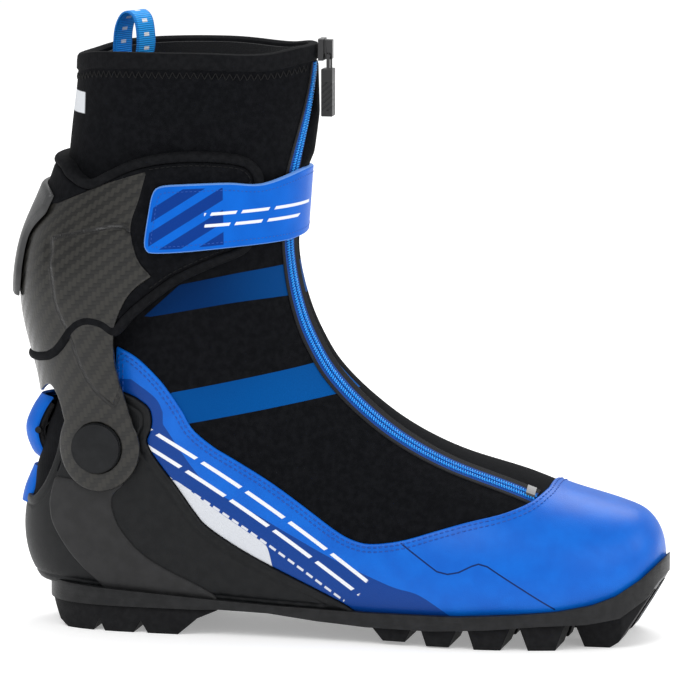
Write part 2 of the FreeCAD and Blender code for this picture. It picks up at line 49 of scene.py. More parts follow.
# Sections of the foot and leg in millimetres: ridge x, z, base x, z, half width, place of the widest
# point, roundness at the ridge and at the base, ridge y, base y
upperTable = [
    (147.0, 39.0, 147.0, 25.0, 6.0, 0.50, 2.0, 2.0, 4.0, 4.0),
    (145.8, 46.0, 145.8, 21.0, 13.5, 0.50, 2.1, 2.1, 4.0, 4.0),
    (143.0, 51.5, 143.0, 17.0, 20.5, 0.52, 2.2, 2.2, 4.5, 4.0),
    (138.5, 56.2, 138.5, 13.0, 27.0, 0.55, 2.2, 2.4, 5.0, 3.6),
    (130.0, 59.8, 130.0, 10.0, 34.0, 0.58, 2.2, 2.6, 5.5, 3.0),
    (118.0, 63.0, 118.0, 8.0, 40.0, 0.60, 2.2, 2.8, 6.0, 2.2),
    (103.0, 67.2, 103.0, 6.0, 44.5, 0.61, 2.1, 3.0, 6.0, 1.2),
    (87.0, 73.2, 87.0, 5.0, 46.8, 0.62, 2.0, 3.0, 6.0, 0.5),
    (72.0, 77.6, 71.0, 4.0, 47.6, 0.64, 2.0, 3.0, 6.0, 0.0),
    (58.0, 81.6, 54.0, 3.0, 47.2, 0.66, 2.0, 3.0, 6.0, 0.0),
    (43.0, 87.8, 33.0, 3.0, 45.2, 0.67, 1.95, 3.0, 5.5, 0.0),
    (27.5, 96.6, 6.0, 3.0, 43.0, 0.67, 1.9, 2.8, 5.0, 0.0),
    (16.5, 104.8, -22.0, 3.0, 41.2, 0.65, 1.9, 2.8, 4.5, 0.0),
    (7.0, 113.2, -52.0, 3.0, 40.0, 0.61, 1.9, 2.7, 4.0, 0.0),
    (-2.0, 123.2, -85.0, 4.0, 39.4, 0.57, 1.9, 2.6, 3.5, 0.0),
    (-8.0, 132.8, -118.0, 8.0, 39.2, 0.53, 2.0, 2.5, 3.0, 0.0),
    (-12.4, 142.0, -139.0, 22.0, 39.2, 0.50, 2.0, 2.4, 2.5, 0.0),
    (-16.0, 152.0, -145.0, 48.0, 39.2, 0.48, 2.0, 2.3, 2.0, 0.0),
    (-18.6, 161.5, -138.5, 74.0, 39.0, 0.49, 2.0, 2.2, 2.0, 0.0),
    (-20.2, 170.5, -132.0, 101.0, 38.8, 0.52, 2.0, 2.1, 2.0, 0.0),
    (-20.4, 179.5, -130.0, 134.0, 38.8, 0.54, 2.0, 2.1, 2.0, 0.0),
    (-19.4, 190.0, -129.0, 165.0, 39.0, 0.55, 2.1, 2.1, 2.0, 0.0),
    (-18.4, 202.0, -128.0, 193.0, 39.5, 0.55, 2.1, 2.1, 2.0, 0.0),
    (-16.8, 217.0, -125.8, 214.0, 40.0, 0.55, 2.1, 2.1, 1.5, 0.0),
    (-15.0, 233.0, -123.8, 232.0, 40.0, 0.54, 2.1, 2.1, 1.0, 0.0),
    (-13.4, 249.0, -121.8, 248.0, 40.0, 0.53, 2.1, 2.1, 0.5, 0.0),
    (-12.0, 265.0, -120.8, 263.0, 40.0, 0.52, 2.1, 2.1, 0.0, 0.0),
    (-11.6, 284.0, -120.0, 284.0, 40.0, 0.52, 2.1, 2.1, 0.0, 0.0),
]
cuffTable = [
    (-14.0, 44.0, -138.0, 44.0, 45.2, 0.66, 2.2, 2.2, 0.0, 0.0),
    (-15.0, 66.0, -139.0, 66.0, 46.0, 0.66, 2.2, 2.2, 0.0, 0.0),
    (-16.0, 88.0, -139.5, 88.0, 46.4, 0.66, 2.2, 2.2, 0.0, 0.0),
    (-17.4, 110.0, -140.5, 110.0, 46.8, 0.65, 2.2, 2.2, 0.0, 0.0),
    (-18.4, 130.0, -145.5, 130.0, 47.2, 0.64, 2.2, 2.2, 0.0, 0.0),
    (-18.8, 150.0, -149.3, 150.0, 47.4, 0.63, 2.2, 2.2, 1.0, 0.0),
    (-19.0, 165.0, -148.6, 165.0, 47.2, 0.62, 2.2, 2.2, 1.5, 0.0),
    (-18.8, 180.0, -145.0, 180.0, 46.8, 0.60, 2.1, 2.2, 2.0, 0.0),
    (-17.8, 195.0, -138.5, 195.0, 46.2, 0.58, 2.1, 2.2, 2.0, 0.0),
    (-16.6, 212.0, -132.0, 212.0, 45.4, 0.56, 2.1, 2.2, 2.0, 0.0),
    (-14.6, 234.0, -127.0, 234.0, 44.4, 0.55, 2.1, 2.2, 1.0, 0.0),
]


def smoothRows(table, count):  # a natural cubic through the table's rows, evenly spaced
    table = np.array(table)
    runs = sum(np.linalg.norm(np.diff(table[:, k:k + 2], axis=0), axis=1) for k in (0, 2))
    at = np.concatenate([[0], np.cumsum(runs)])
    gaps = np.diff(at)
    size = len(at)
    system = np.eye(size)
    right = np.zeros_like(table)
    for i in range(1, size - 1):
        system[i, i - 1:i + 2] = gaps[i - 1], 2 * (gaps[i - 1] + gaps[i]), gaps[i]
        right[i] = 6 * ((table[i + 1] - table[i]) / gaps[i] - (table[i] - table[i - 1]) / gaps[i - 1])
    bend = np.linalg.solve(system, right)
    places = np.linspace(0, at[-1], count)
    k = np.clip(np.searchsorted(at, places) - 1, 0, size - 2)
    past = (places - at[k])[:, None]
    left = (at[k + 1] - places)[:, None]
    gap = gaps[k][:, None]
    curved = (bend[k] * left ** 3 + bend[k + 1] * past ** 3) / (6 * gap)
    return curved + (table[k] / gap - bend[k] * gap / 6) * left + (table[k + 1] / gap - bend[k + 1] * gap / 6) * past


def sectionPoints(row, halfCount):  # one closed section, from the ridge down the outer side and back
    rx, rz, bx, bz, half, widest, ridgePower, basePower, ridgeY, baseY = row
    length = math.hypot(bx - rx, bz - rz)
    ux, uz = (bx - rx) / length, (bz - rz) / length
    angle = np.pi * (1 - np.linspace(0, 1, 1601))
    c, s = np.cos(angle), np.abs(np.sin(angle))
    power = np.where(c > 0, basePower, ridgePower)
    reach = np.where(c > 0, 1 - widest, widest) * length
    along = widest * length + np.sign(c) * np.abs(c) ** (2 / power) * reach
    across = s ** (2 / power) * half
    far = np.concatenate([[0], np.cumsum(np.hypot(np.diff(along), np.diff(across)))])
    even = np.linspace(0, far[-1], halfCount + 1)
    along, across = np.interp(even, far, along), np.interp(even, far, across)
    middle = ridgeY + (baseY - ridgeY) * along / length
    sides = [np.stack([rx + ux * along, middle + side * across, rz + uz * along], 1) for side in (-1, 1)]
    return np.concatenate([sides[0], sides[1][-2:0:-1]])


def makeSkin(table, rows, halfCount, nose=False):  # a grid of points and outward normals
    grid = np.array([sectionPoints(row, halfCount) for row in smoothRows(table, rows)])
    if nose:
        middle = grid[0].mean(0)
        caps = [middle + (grid[0] - middle) * share + [1.2 * (1 - share ** 2), 0, 0]
                for share in (0.02, 0.3, 0.55, 0.75, 0.9)]
        grid = np.concatenate([caps, grid])
    around = np.roll(grid, -1, 1) - np.roll(grid, 1, 1)
    onward = np.gradient(grid, axis=0)
    normals = np.cross(onward, around)
    normals /= np.maximum(np.linalg.norm(normals, axis=2, keepdims=True), 1e-9)
    outward = grid - grid.mean(1, keepdims=True)
    if (normals * outward).sum() < 0:
        normals = -normals
    if nose:
        normals[0] = [1, 0, 0]
    step = np.linalg.norm(grid - np.roll(grid, 1, 1), axis=2)
    girth = np.cumsum(step, 1)
    girth = girth - girth[:, halfCount:halfCount + 1]
    middleLine = grid.mean(1)
    rise = np.concatenate([[0], np.cumsum(np.linalg.norm(np.diff(middleLine, axis=0), axis=1))])
    return {"points": grid, "normals": normals, "girth": girth, "rise": np.repeat(rise[:, None], girth.shape[1], 1)}


upperSkin = makeSkin(upperTable, 300, 116, True)
cuffSkin = makeSkin(cuffTable, 150, 120)
print("skins ready")


def curve(points, sharp=(), closed=True, steps=6):  # a smooth line through side points, with corners kept at sharp
    points = [np.array(p, float) for p in points]
    count = len(points)
    line = []
    for i in range(count if closed else count - 1):
        b, c = points[i], points[(i + 1) % count]
        a = b if i in sharp or (not closed and i == 0) else points[i - 1]
        nextSharp = (i + 1) % count in sharp or (not closed and i == count - 2)
        d = c if nextSharp else points[(i + 2) % count]
        for k in range(steps):
            t = k / steps
            start, end = (c - a) / 2, (d - b) / 2
            line.append(b * (2 * t ** 3 - 3 * t ** 2 + 1) + start * (t ** 3 - 2 * t ** 2 + t)
                        + c * (3 * t ** 2 - 2 * t ** 3) + end * (t ** 3 - t ** 2))
    if not closed:
        line.append(points[-1])
    return np.array(line)


def lineDistance(x, z, line, closed=True):  # distance to a side line
    best = np.full(x.shape, 1e9)
    ends = np.roll(line, -1, 0) if closed else line[1:]
    for (ax, az), (bx, bz) in zip(line, ends):
        dx, dz = bx - ax, bz - az
        size = max(dx * dx + dz * dz, 1e-12)
        t = np.clip(((x - ax) * dx + (z - az) * dz) / size, 0, 1)
        best = np.minimum(best, (x - ax - t * dx) ** 2 + (z - az - t * dz) ** 2)
    return np.sqrt(best)


def inside(x, z, line):
    odd = np.zeros(x.shape, bool)
    for (ax, az), (bx, bz) in zip(line, np.roll(line, -1, 0)):
        crosses = (az > z) != (bz > z)
        safe = bz - az if abs(bz - az) > 1e-12 else 1e-12
        odd ^= crosses & (x < (bx - ax) * (z - az) / safe + ax)
    return odd


def area(skin, line):  # signed distance to a closed side outline, positive inside
    x, z = skin["points"][..., 0], skin["points"][..., 2]
    distance = lineDistance(x, z, line)
    return np.where(inside(x, z, line), distance, -distance)


def over(skin, line, rise=0.0):  # signed distance above an open side line that runs from the rear to the front
    far = 600.0
    closing = np.array([[line[-1][0], far], [line[0][0], far]])
    return area(skin, np.concatenate([np.array(line) + [0, rise], closing]))


def disc(skin, x, z, radius):
    return radius - np.hypot(skin["points"][..., 0] - x, skin["points"][..., 2] - z)


def both(*fields):
    return np.minimum.reduce(fields)


def either(*fields):
    return np.maximum.reduce(fields)


def cutPolys(rows, polys, column, level):  # splits each polygon that a level of one column crosses
    made = {}
    out = []
    for poly in polys:
        values = [rows[i][column] - level for i in poly]
        if min(values) >= -1e-6 or max(values) <= 1e-6:
            out.append(poly)
            continue
        high, low = [], []
        for k, a in enumerate(poly):
            b = poly[(k + 1) % len(poly)]
            va, vb = values[k], values[(k + 1) % len(poly)]
            if va >= 0:
                high.append(a)
            else:
                low.append(a)
            if (va >= 0) != (vb >= 0):
                key = (min(a, b), max(a, b))
                if key not in made:
                    share = va / (va - vb)
                    rows.append(rows[a] * (1 - share) + rows[b] * share)
                    rows[-1][column] = level
                    made[key] = len(rows) - 1
                high.append(made[key])
                low.append(made[key])
        out += [high, low]
    return out


def finishPiece(name, vertices, faces, look, body, replaced=(), slotName=None, values=None, sharpAngle=38):
    mesh = bpy.data.meshes.new(name)
    mesh.from_pydata([tuple(v) for v in np.array(vertices) * mm], [], faces)
    for key, numbers in (values or {}).items():
        mesh.attributes.new(key, "FLOAT", "POINT").data.foreach_set("value", np.array(numbers, np.float32))
    piece = bpy.data.objects.new(name, mesh)
    bpy.context.scene.collection.objects.link(piece)
    bpy.ops.object.select_all(action="DESELECT")
    piece.select_set(True)
    bpy.context.view_layer.objects.active = piece
    bpy.ops.object.mode_set(mode="EDIT")
    bpy.ops.mesh.select_all(action="SELECT")
    bpy.ops.mesh.remove_doubles(threshold=0.00002)
    bpy.ops.mesh.normals_make_consistent(inside=False)
    bpy.ops.object.mode_set(mode="OBJECT")
    bpy.ops.object.shade_smooth_by_angle(angle=math.radians(sharpAngle))
    mesh.materials.append(look)
    if body:
        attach(piece, body)
    if replaced:
        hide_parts(*replaced)
    return piece


def overlay(name, skin, field, profile, base, look, body, lift=None, marks=None, **rest):
    # a closed layer on a skin where field is positive; profile pairs a distance from the edge with a height
    rows, columns = field.shape
    marks = marks or {}
    stack = [skin["points"], skin["normals"], field[..., None],
             (np.zeros_like(field) if lift is None else lift)[..., None],
             skin["girth"][..., None], skin["rise"][..., None]]
    stack += [value[..., None] for value in marks.values()]
    table = np.concatenate(stack, 2).reshape(rows * columns, -1)
    i, j = np.meshgrid(np.arange(rows - 1), np.arange(columns), indexing="ij")
    onward = (j + 1) % columns
    quads = np.stack([i * columns + j, i * columns + onward, (i + 1) * columns + onward, (i + 1) * columns + j], 2)
    quads = quads.reshape(-1, 4)
    quads = quads[table[quads, 6].max(1) > 0]
    used, renumbered = np.unique(quads, return_inverse=True)
    kept = list(table[used])
    polys = [list(q) for q in renumbered.reshape(-1, 4)]
    for distance, height in profile:
        polys = cutPolys(kept, polys, 6, distance)
    polys = [p for p in polys if sum(kept[k][6] for k in p) / len(p) > 1e-6]
    table = np.array(kept)
    tops = np.interp(table[:, 6], [p[0] for p in profile], [p[1] for p in profile]) + table[:, 7]
    normals = table[:, 3:6] / np.maximum(np.linalg.norm(table[:, 3:6], axis=1, keepdims=True), 1e-9)
    top = table[:, :3] + normals * tops[:, None]
    bottom = table[:, :3] + normals * base
    used = sorted({k for p in polys for k in p})
    where = {k: n for n, k in enumerate(used)}
    count = len(used)
    faces = [[where[k] for k in p] for p in polys]
    edges = {}
    for face in faces:
        for a, b in zip(face, face[1:] + face[:1]):
            edges[(a, b)] = 1
    walls = [[b, a, a + count, b + count] for a, b in edges if (b, a) not in edges]
    under = [[k + count for k in reversed(face)] for face in faces]
    vertices = np.concatenate([top[used], bottom[used]])
    values = {"edge": table[used, 6], "girth": table[used, 8], "rise": table[used, 9]}
    values.update({key: table[used, 10 + n] for n, key in enumerate(marks)})
    values = {key: np.concatenate([v, v]) for key, v in values.items()}
    return finishPiece(name, vertices, faces + under + walls, look, body, values=values, **rest)


def isoLines(skin, field, level=0.0):  # lines on a skin where field has one value: points and normals in order
    rows, columns = field.shape
    points, normals = skin["points"], skin["normals"]
    links = {}
    places = {}
    signs = field >= level
    onward = np.roll(signs, -1, 1)
    turned = signs != onward
    nearby = np.argwhere((signs[:-1] != signs[1:]) | turned[:-1] | turned[1:] | (onward[:-1] != onward[1:]))
    for i, j in nearby:
        corners = [(i, j), (i, (j + 1) % columns), (i + 1, (j + 1) % columns), (i + 1, j)]
        found = []
        for a, b in zip(corners, corners[1:] + corners[:1]):
            if signs[a] != signs[b]:
                key = (min(a, b), max(a, b))
                if key not in places:
                    share = (level - field[a]) / (field[b] - field[a])
                    places[key] = (points[a] * (1 - share) + points[b] * share,
                                   normals[a] * (1 - share) + normals[b] * share)
                found.append(key)
        for a, b in zip(found[::2], found[1::2]):
            links.setdefault(a, []).append(b)
            links.setdefault(b, []).append(a)
    lines = []
    left = dict.fromkeys(sorted(links, key=lambda key: (len(links[key]) != 1, key)))
    while left:
        here = next(iter(left))
        chain = []
        while here is not None:
            left.pop(here)
            chain.append(here)
            here = next((key for key in links[here] if key in left), None)
        closed = len(chain) > 3 and chain[0] in links[chain[-1]]
        chain += chain[:1] if closed else []
        lines.append((np.array([places[key][0] for key in chain]), np.array([places[key][1] for key in chain])))
    return [line for line in lines if len(line[0]) > 3]


def evenly(line, normals, pitch):  # points, directions and normals at equal steps along a line
    far = np.concatenate([[0], np.cumsum(np.linalg.norm(np.diff(line, axis=0), axis=1))])
    count = max(2, int(far[-1] / pitch) + 1)
    even = np.linspace(0, far[-1], count)
    points = np.stack([np.interp(even, far, line[:, k]) for k in range(3)], 1)
    ups = np.stack([np.interp(even, far, normals[:, k]) for k in range(3)], 1)
    ups /= np.linalg.norm(ups, axis=1, keepdims=True)
    ways = np.gradient(points, axis=0)
    ways /= np.maximum(np.linalg.norm(ways, axis=1, keepdims=True), 1e-9)
    return points, ways, ups


threadArch = ((-1, -0.35, 0.6), (-0.7, 0.45, 1.0), (0, 0.9, 1.1), (0.7, 0.45, 1.0), (1, -0.35, 0.6))  # along, up, wide


def stitches(name, lines, look, body, height, pitch=2.6, length=1.9, radius=0.24, keep=None, zigzag=0.0):
    vertices, faces = [], []  # each stitch is a short arched thread
    for line, normals in lines:
        points, ways, ups = evenly(line, normals, pitch)
        for k, (point, way, up) in enumerate(zip(points, ways, ups)):
            if keep is not None and not keep(point):
                continue
            side = np.cross(up, way)
            if zigzag:
                way = way * pitch * 0.5 + side * zigzag * (1 if k % 2 else -1)
                half = np.linalg.norm(way)
                way = way / half
                side = np.cross(up, way)
            else:
                half = length / 2
            start = len(vertices)
            for share, lift, wide in threadArch:
                centre = point + way * half * share + up * (height + radius * lift)
                for n in range(6):
                    turn = n * math.pi / 3
                    vertices.append(centre + (side * math.cos(turn) + up * math.sin(turn) * 0.8) * radius * wide)
            for ring in range(4):
                for n in range(6):
                    a, b = start + ring * 6 + n, start + ring * 6 + (n + 1) % 6
                    faces.append([a, b, b + 6, a + 6])
            faces.append([start + n for n in range(5, -1, -1)])
            faces.append([start + 24 + n for n in range(6)])
    return finishPiece(name, vertices, faces, look, body)


def sweep(name, path, side, profile, look, body, closed=False, **rest):
    # a closed profile (across, up) carried along a path; side is the across direction at each point
    path = np.array(path, float)
    side = np.array(side, float)
    side = np.repeat(side[None], len(path), 0) if side.ndim == 1 else side
    side = side / np.linalg.norm(side, axis=1, keepdims=True)
    ways = (np.roll(path, -1, 0) - np.roll(path, 1, 0)) if closed else np.gradient(path, axis=0)
    ways /= np.linalg.norm(ways, axis=1, keepdims=True)
    ups = np.cross(side, ways)
    ups /= np.linalg.norm(ups, axis=1, keepdims=True)
    across = np.array([p[0] for p in profile])
    high = np.array([p[1] for p in profile])
    grid = path[:, None] + side[:, None] * across[None, :, None] + ups[:, None] * high[None, :, None]
    rows, columns = grid.shape[:2]
    faces = []
    for i in range(rows if closed else rows - 1):
        for j in range(columns):
            a, b = i * columns + j, i * columns + (j + 1) % columns
            c, d = ((i + 1) % rows) * columns + (j + 1) % columns, ((i + 1) % rows) * columns + j
            faces.append([a, b, c, d])
    if not closed:
        faces += [list(range(columns - 1, -1, -1)), [(rows - 1) * columns + k for k in range(columns)]]
    far = np.concatenate([[0], np.cumsum(np.linalg.norm(np.diff(path, axis=0), axis=1))])
    values = {"girth": np.tile(across, rows), "rise": np.repeat(far, columns), "edge": np.tile(high, rows)}
    return finishPiece(name, grid.reshape(-1, 3), faces, look, body, values=values, **rest)


def ribbonProfile(width, thickness, steps=10):  # a flat strip with rounded edges
    half, thick = width / 2, thickness / 2
    flat = half - 0.7 * thick
    across = [flat - 2 * flat * k / steps for k in range(steps + 1)]
    top = [(x, thick) for x in across] + [(-half, 0.5 * thick), (-half, -0.5 * thick)]
    return top + [(-x, -y) for x, y in top]


def ease(share):  # a smooth step from 0 to 1
    share = np.clip(share, 0, 1)
    return share ** 2 * (3 - 2 * share)


def spots(skin):  # the x, y and z of a skin's points
    return (skin["points"][..., k] for k in range(3))


class Wire:  # a socket that shader maths can be written with
    def __init__(self, tree, socket):
        self.tree = tree
        self.socket = socket

    def add(self, kind, inputs, output=0, **settings):  # any other node
        node = self.tree.nodes.new(kind)
        for key, value in settings.items():
            setattr(node, key, value)
        for key, value in inputs.items():
            if isinstance(value, Wire):
                self.tree.links.new(value.socket, node.inputs[key])
            else:
                node.inputs[key].default_value = value
        return Wire(self.tree, node.outputs[output])

    def maths(self, operation, *others, clamp=False):
        return self.add("ShaderNodeMath", dict(enumerate((self,) + others)), operation=operation, use_clamp=clamp)

    def __add__(self, other):
        return self.maths("ADD", other)

    def __radd__(self, other):
        return self.maths("ADD", other)

    def __sub__(self, other):
        return self.maths("SUBTRACT", other)

    def __rsub__(self, other):
        return self.maths("MULTIPLY", -1.0).maths("ADD", other)

    def __mul__(self, other):
        return self.maths("MULTIPLY", other)

    def __rmul__(self, other):
        return self.maths("MULTIPLY", other)

    def __truediv__(self, other):
        return self.maths("DIVIDE", other)

    def ramp(self, low, high, start=0.0, end=1.0):  # a smooth step from start to end
        return self.add("ShaderNodeMapRange", {0: self, 1: low, 2: high, 3: start, 4: end},
                        interpolation_type="SMOOTHSTEP")

    def wave(self, pitch, phase=0.0):  # from 0 to 1 and back over one pitch
        return (self * (2 * math.pi / pitch) + phase).maths("SINE") * 0.5 + 0.5

    def tint(self, low, high):  # self mixes two colours
        def four(colour):
            return colour if isinstance(colour, Wire) else (*colour, 1.0)
        return self.add("ShaderNodeMix", {0: self, 6: four(low), 7: four(high)}, output=2, data_type="RGBA")


def newLook(name, build, **constants):  # a material; build gives the varying inputs
    look = bpy.data.materials.new(name)
    look.use_nodes = True
    tree = look.node_tree
    shader = tree.nodes["Principled BSDF"]
    for key, value in constants.items():
        shader.inputs[key.replace("_", " ")].default_value = value
    place = Wire(tree, tree.nodes.new("ShaderNodeTexCoord").outputs["Object"])
    spot = place.add("ShaderNodeVectorMath", {0: place, 3: 1000.0}, operation="SCALE")
    for key, value in build(spot).items():
        if key == "height":
            value = spot.add("ShaderNodeBump", {"Height": value, "Strength": 1.0, "Distance": 0.001})
            tree.links.new(value.socket, shader.inputs["Normal"])
        else:
            tree.links.new(value.socket, shader.inputs[key.replace("_", " ")])
    return look


def mark(spot, name):  # one of the piece's own numbers
    return spot.add("ShaderNodeAttribute", {}, output=2, attribute_name=name)


def noise(spot, scale, detail=3.0, rough=0.5):
    return spot.add("ShaderNodeTexNoise", {"Vector": spot, "Scale": scale, "Detail": detail, "Roughness": rough})


def cells(spot, scale):
    return spot.add("ShaderNodeTexVoronoi", {"Vector": spot, "Scale": scale})


def axis(spot, which):
    return spot.add("ShaderNodeSeparateXYZ", {0: spot}, output=which)


def knit(spot, pitch, depth):  # a fine diagonal weave from the piece's own lengths
    across, up = mark(spot, "girth"), mark(spot, "rise")
    return (across + up).wave(pitch) * (across - up).wave(pitch * 1.9) * depth


def strokes(x, z, points):  # distance to a line of side points
    found = None
    for (ax, az), (bx, bz) in zip(points, points[1:]):
        dx, dz = bx - ax, bz - az
        size = dx * dx + dz * dz
        t = ((x - ax) * (dx / size) + (z - az) * (dz / size)).maths("MAXIMUM", 0.0).maths("MINIMUM", 1.0)
        across, up = x - ax - t * dx, z - az - t * dz
        near = (across * across + up * up).maths("SQRT")
        found = near if found is None else found.maths("MINIMUM", near)
    return found


def offBeat(along, pitch):  # distance from the middle of each pitch
    slid = along / pitch
    return ((slid - slid.maths("FLOOR")) * pitch - pitch / 2).maths("ABSOLUTE")


def doubleLine(along, across, pitch, half, high, wide):  # a broken double line with slanted ends
    local = offBeat(along - across * 0.55, pitch) - half
    return (across.maths("ABSOLUTE") - high).maths("ABSOLUTE").ramp(wide + 0.1, wide - 0.1) * local.ramp(0.1, -0.1)


def bars(along, across, pitch, high):  # a row of short bars
    local = offBeat(along, pitch)
    return local.ramp(pitch * 0.36, pitch * 0.32) * across.maths("ABSOLUTE").ramp(high + 0.08, high - 0.08)


black = ((0.0030, 0.0033, 0.0042), (0.0062, 0.0066, 0.0080))
brightBlue = ((0.0, 0.098, 0.50), (0.0, 0.125, 0.58))
white = (0.74, 0.76, 0.80)


def surface(tone, colours, grain, spread, least, depth=0.0):  # tone mixes the colours, grain gives roughness and height
    found = {"Base_Color": tone.tint(*colours), "Roughness": grain * spread + least}
    if depth:
        found["height"] = grain * depth
    return found


def softBlack(spot):
    tone = noise(spot, 0.35, 4.0)
    return {"Base_Color": tone.ramp(0.3, 0.75).tint(*black), "Roughness": tone * 0.14 + 0.74,
            "height": knit(spot, 1.1, 0.05) + noise(spot, 1.6, 3.0) * 0.12}


def striped(spot):  # the black softshell with two plain printed bands and a pale patch behind the collar
    tone = noise(spot, 0.35, 4.0)
    weave = knit(spot, 1.1, 0.05)
    band = mark(spot, "stripe").ramp(-0.12, 0.12)
    x, up = axis(spot, 0), axis(spot, 2)
    blue = up.ramp(104.0, 150.0).tint((0.0, 0.058, 0.235), (0.0, 0.018, 0.085))
    blue = (x.ramp(-62.0, -12.0) * 0.5).tint(blue, (0.0, 0.078, 0.30))
    patch = up.ramp(235.5, 236.0) * up.ramp(245.5, 245.0) * x.ramp(-113.0, -114.0)
    ground = patch.tint(tone.ramp(0.3, 0.75).tint(*black), (0.62, 0.64, 0.67))
    return {"Base_Color": band.tint(ground, blue), "Roughness": tone * 0.14 + 0.74 - band * 0.26,
            "height": weave * (1.0 - band * 0.6) + noise(spot, 1.6, 3.0) * 0.1 + band * 0.12}


def blueSheet(spot):
    grain = cells(spot, 1.9)
    return {"Base_Color": noise(spot, 0.09, 3.0).ramp(0.25, 0.8).tint(*brightBlue), "Roughness": grain * 0.1 + 0.36,
            "height": grain * 0.045 + noise(spot, 2.2) * 0.05}


zigzagLine = [(36, 46.5), (41, 43), (53, 35), (58, 34), (63, 35), (69, 38), (72, 39), (76, 38), (92, 28), (106, 19)]


def randSheet(spot):  # the blue synthetic with its printed dark zone, line, broken lines and plain panel
    grain = cells(spot, 1.9)
    outer = axis(spot, 1).ramp(2.0, 0.0)
    x, z = axis(spot, 0), axis(spot, 2)
    along = (x + 82.0) * 0.852 - (z - 91.0) * 0.524
    across = (x + 82.0) * 0.524 + (z - 91.0) * 0.852 + along * along * 0.00035 - along * 0.02
    frames = doubleLine(along, across, 24.0, 10.4, 3.6, 0.85)
    brokenLines = frames * along.ramp(-1.0, 0.0) * along.ramp(120.5, 119.5) * outer
    small = bars(along, across + 10.6, 5.2, 0.55) * along.ramp(6.0, 6.5) * along.ramp(116.0, 115.5) * outer
    colour = noise(spot, 0.09, 3.0).ramp(0.25, 0.8).tint(*brightBlue)
    for share, printed in ((mark(spot, "dark").ramp(-0.12, 0.12), (0.0, 0.040, 0.235)),
                           (strokes(x, z, zigzagLine).ramp(0.45, 0.25) * outer, (0.0, 0.014, 0.10)),
                           (mark(spot, "pale").ramp(-0.12, 0.12), (0.58, 0.60, 0.64)),
                           (brokenLines, white), (small, (0.60, 0.62, 0.68))):
        colour = share.tint(colour, printed)
    return {"Base_Color": colour, "Roughness": grain * 0.1 + 0.36 + brokenLines * 0.06,
            "height": grain * 0.045 + noise(spot, 2.2) * 0.05 + brokenLines * 0.05}


def blackPlastic(spot):
    return surface(noise(spot, 0.2).ramp(0.3, 0.7), ((0.0058, 0.0064, 0.0074), (0.0095, 0.0102, 0.0115)),
                   noise(spot, 2.6, 4.0, 0.6), 0.16, 0.38, 0.09)


def satinBand(spot):
    return surface(noise(spot, 0.15).ramp(0.3, 0.7), ((0.0165, 0.0165, 0.017), (0.0225, 0.0225, 0.0235)),
                   noise(spot, 3.4, 3.0, 0.6), 0.1, 0.36, 0.05)


def carbonWeave(spot):  # a two over two twill under a clear coat
    pitch = 2.0
    a, b = mark(spot, "girth") / pitch, mark(spot, "rise") / pitch
    column, row = a.maths("FLOOR"), b.maths("FLOOR")
    onTop = ((column + row) * 0.25).maths("FRACT").maths("GREATER_THAN", 0.4)
    u, v = a - column - 0.5, b - row - 0.5
    lengthwise = (1.0 - u * u * 2.4) * onTop + (1.0 - v * v * 2.4) * (1.0 - onTop)
    shine = onTop * 0.5 + lengthwise * 0.35 + noise(spot, 0.12, 2.0) * 0.5
    # painted shade: the colour darkens to near black along the panel crease, where the bump cuts a groove
    shadedGroove = mark(spot, "shadedGroove").ramp(0.35, 1.3)
    colour = shine.ramp(0.25, 1.3).tint((0.0040, 0.0040, 0.0038), (0.026, 0.0248, 0.0215))
    return {"Base_Color": shadedGroove.tint((0.006, 0.006, 0.006), colour), "Roughness": onTop * 0.14 + 0.3,
            "Metallic": onTop * 0.15 + 0.05, "height": lengthwise * 0.05 + shadedGroove * 0.6}


def spoilerSheet(spot):
    return surface(noise(spot, 0.2).ramp(0.3, 0.7), ((0.030, 0.031, 0.032), (0.042, 0.043, 0.044)),
                   noise(spot, 2.6, 4.0, 0.6), 0.12, 0.3, 0.06)


def counterSheet(spot):
    return surface(noise(spot, 0.2).ramp(0.3, 0.7), ((0.0036, 0.0042, 0.0050), (0.0066, 0.0072, 0.0080)),
                   noise(spot, 2.6, 4.0, 0.6), 0.16, 0.38, 0.09)


def pullRubber(spot):  # the grip, with slanted grooves on its face, with painted shade darkening each groove
    grain = noise(spot, 3.0, 5.0, 0.62)
    z = axis(spot, 2)
    slant = z - axis(spot, 0) * 0.9
    shadedGroove = slant.wave(2.6).ramp(0.72, 0.86) * z.ramp(237.0, 237.5) * z.ramp(250.0, 249.5)
    # painted shade: the colour is near black inside each groove
    return {"Base_Color": shadedGroove.tint((0.0052, 0.0055, 0.006), (0.0008, 0.0008, 0.0009)),
            "Roughness": grain * 0.16 + 0.3,
            "height": grain * 0.08 - shadedGroove * 0.8}


def rubber(spot):
    return surface(noise(spot, 0.35, 4.0).ramp(0.3, 0.75), ((0.0042, 0.0044, 0.0052), (0.0085, 0.0088, 0.0098)),
                   noise(spot, 3.0, 5.0, 0.62), 0.22, 0.46, 0.14)


def solePlate(spot):
    grain = noise(spot, 2.4, 4.0, 0.6)
    return {"Base_Color": noise(spot, 0.25).ramp(0.3, 0.7).tint((0.0095, 0.0098, 0.0105), (0.0155, 0.0158, 0.0168)),
            "Roughness": grain * 0.18 + 0.34, "height": grain * 0.1 + axis(spot, 2).wave(1.6) * 0.02}


def steel(spot):
    grain = noise(spot, 0.8, 5.0)
    return surface(grain, ((0.42, 0.42, 0.43), (0.56, 0.56, 0.57)), grain, 0.2, 0.18, 0.02)


def gunMetal(spot):
    grain = noise(spot, 1.2, 4.0)
    return surface(grain, ((0.010, 0.010, 0.011), (0.028, 0.028, 0.030)), grain, 0.16, 0.14, 0.02)


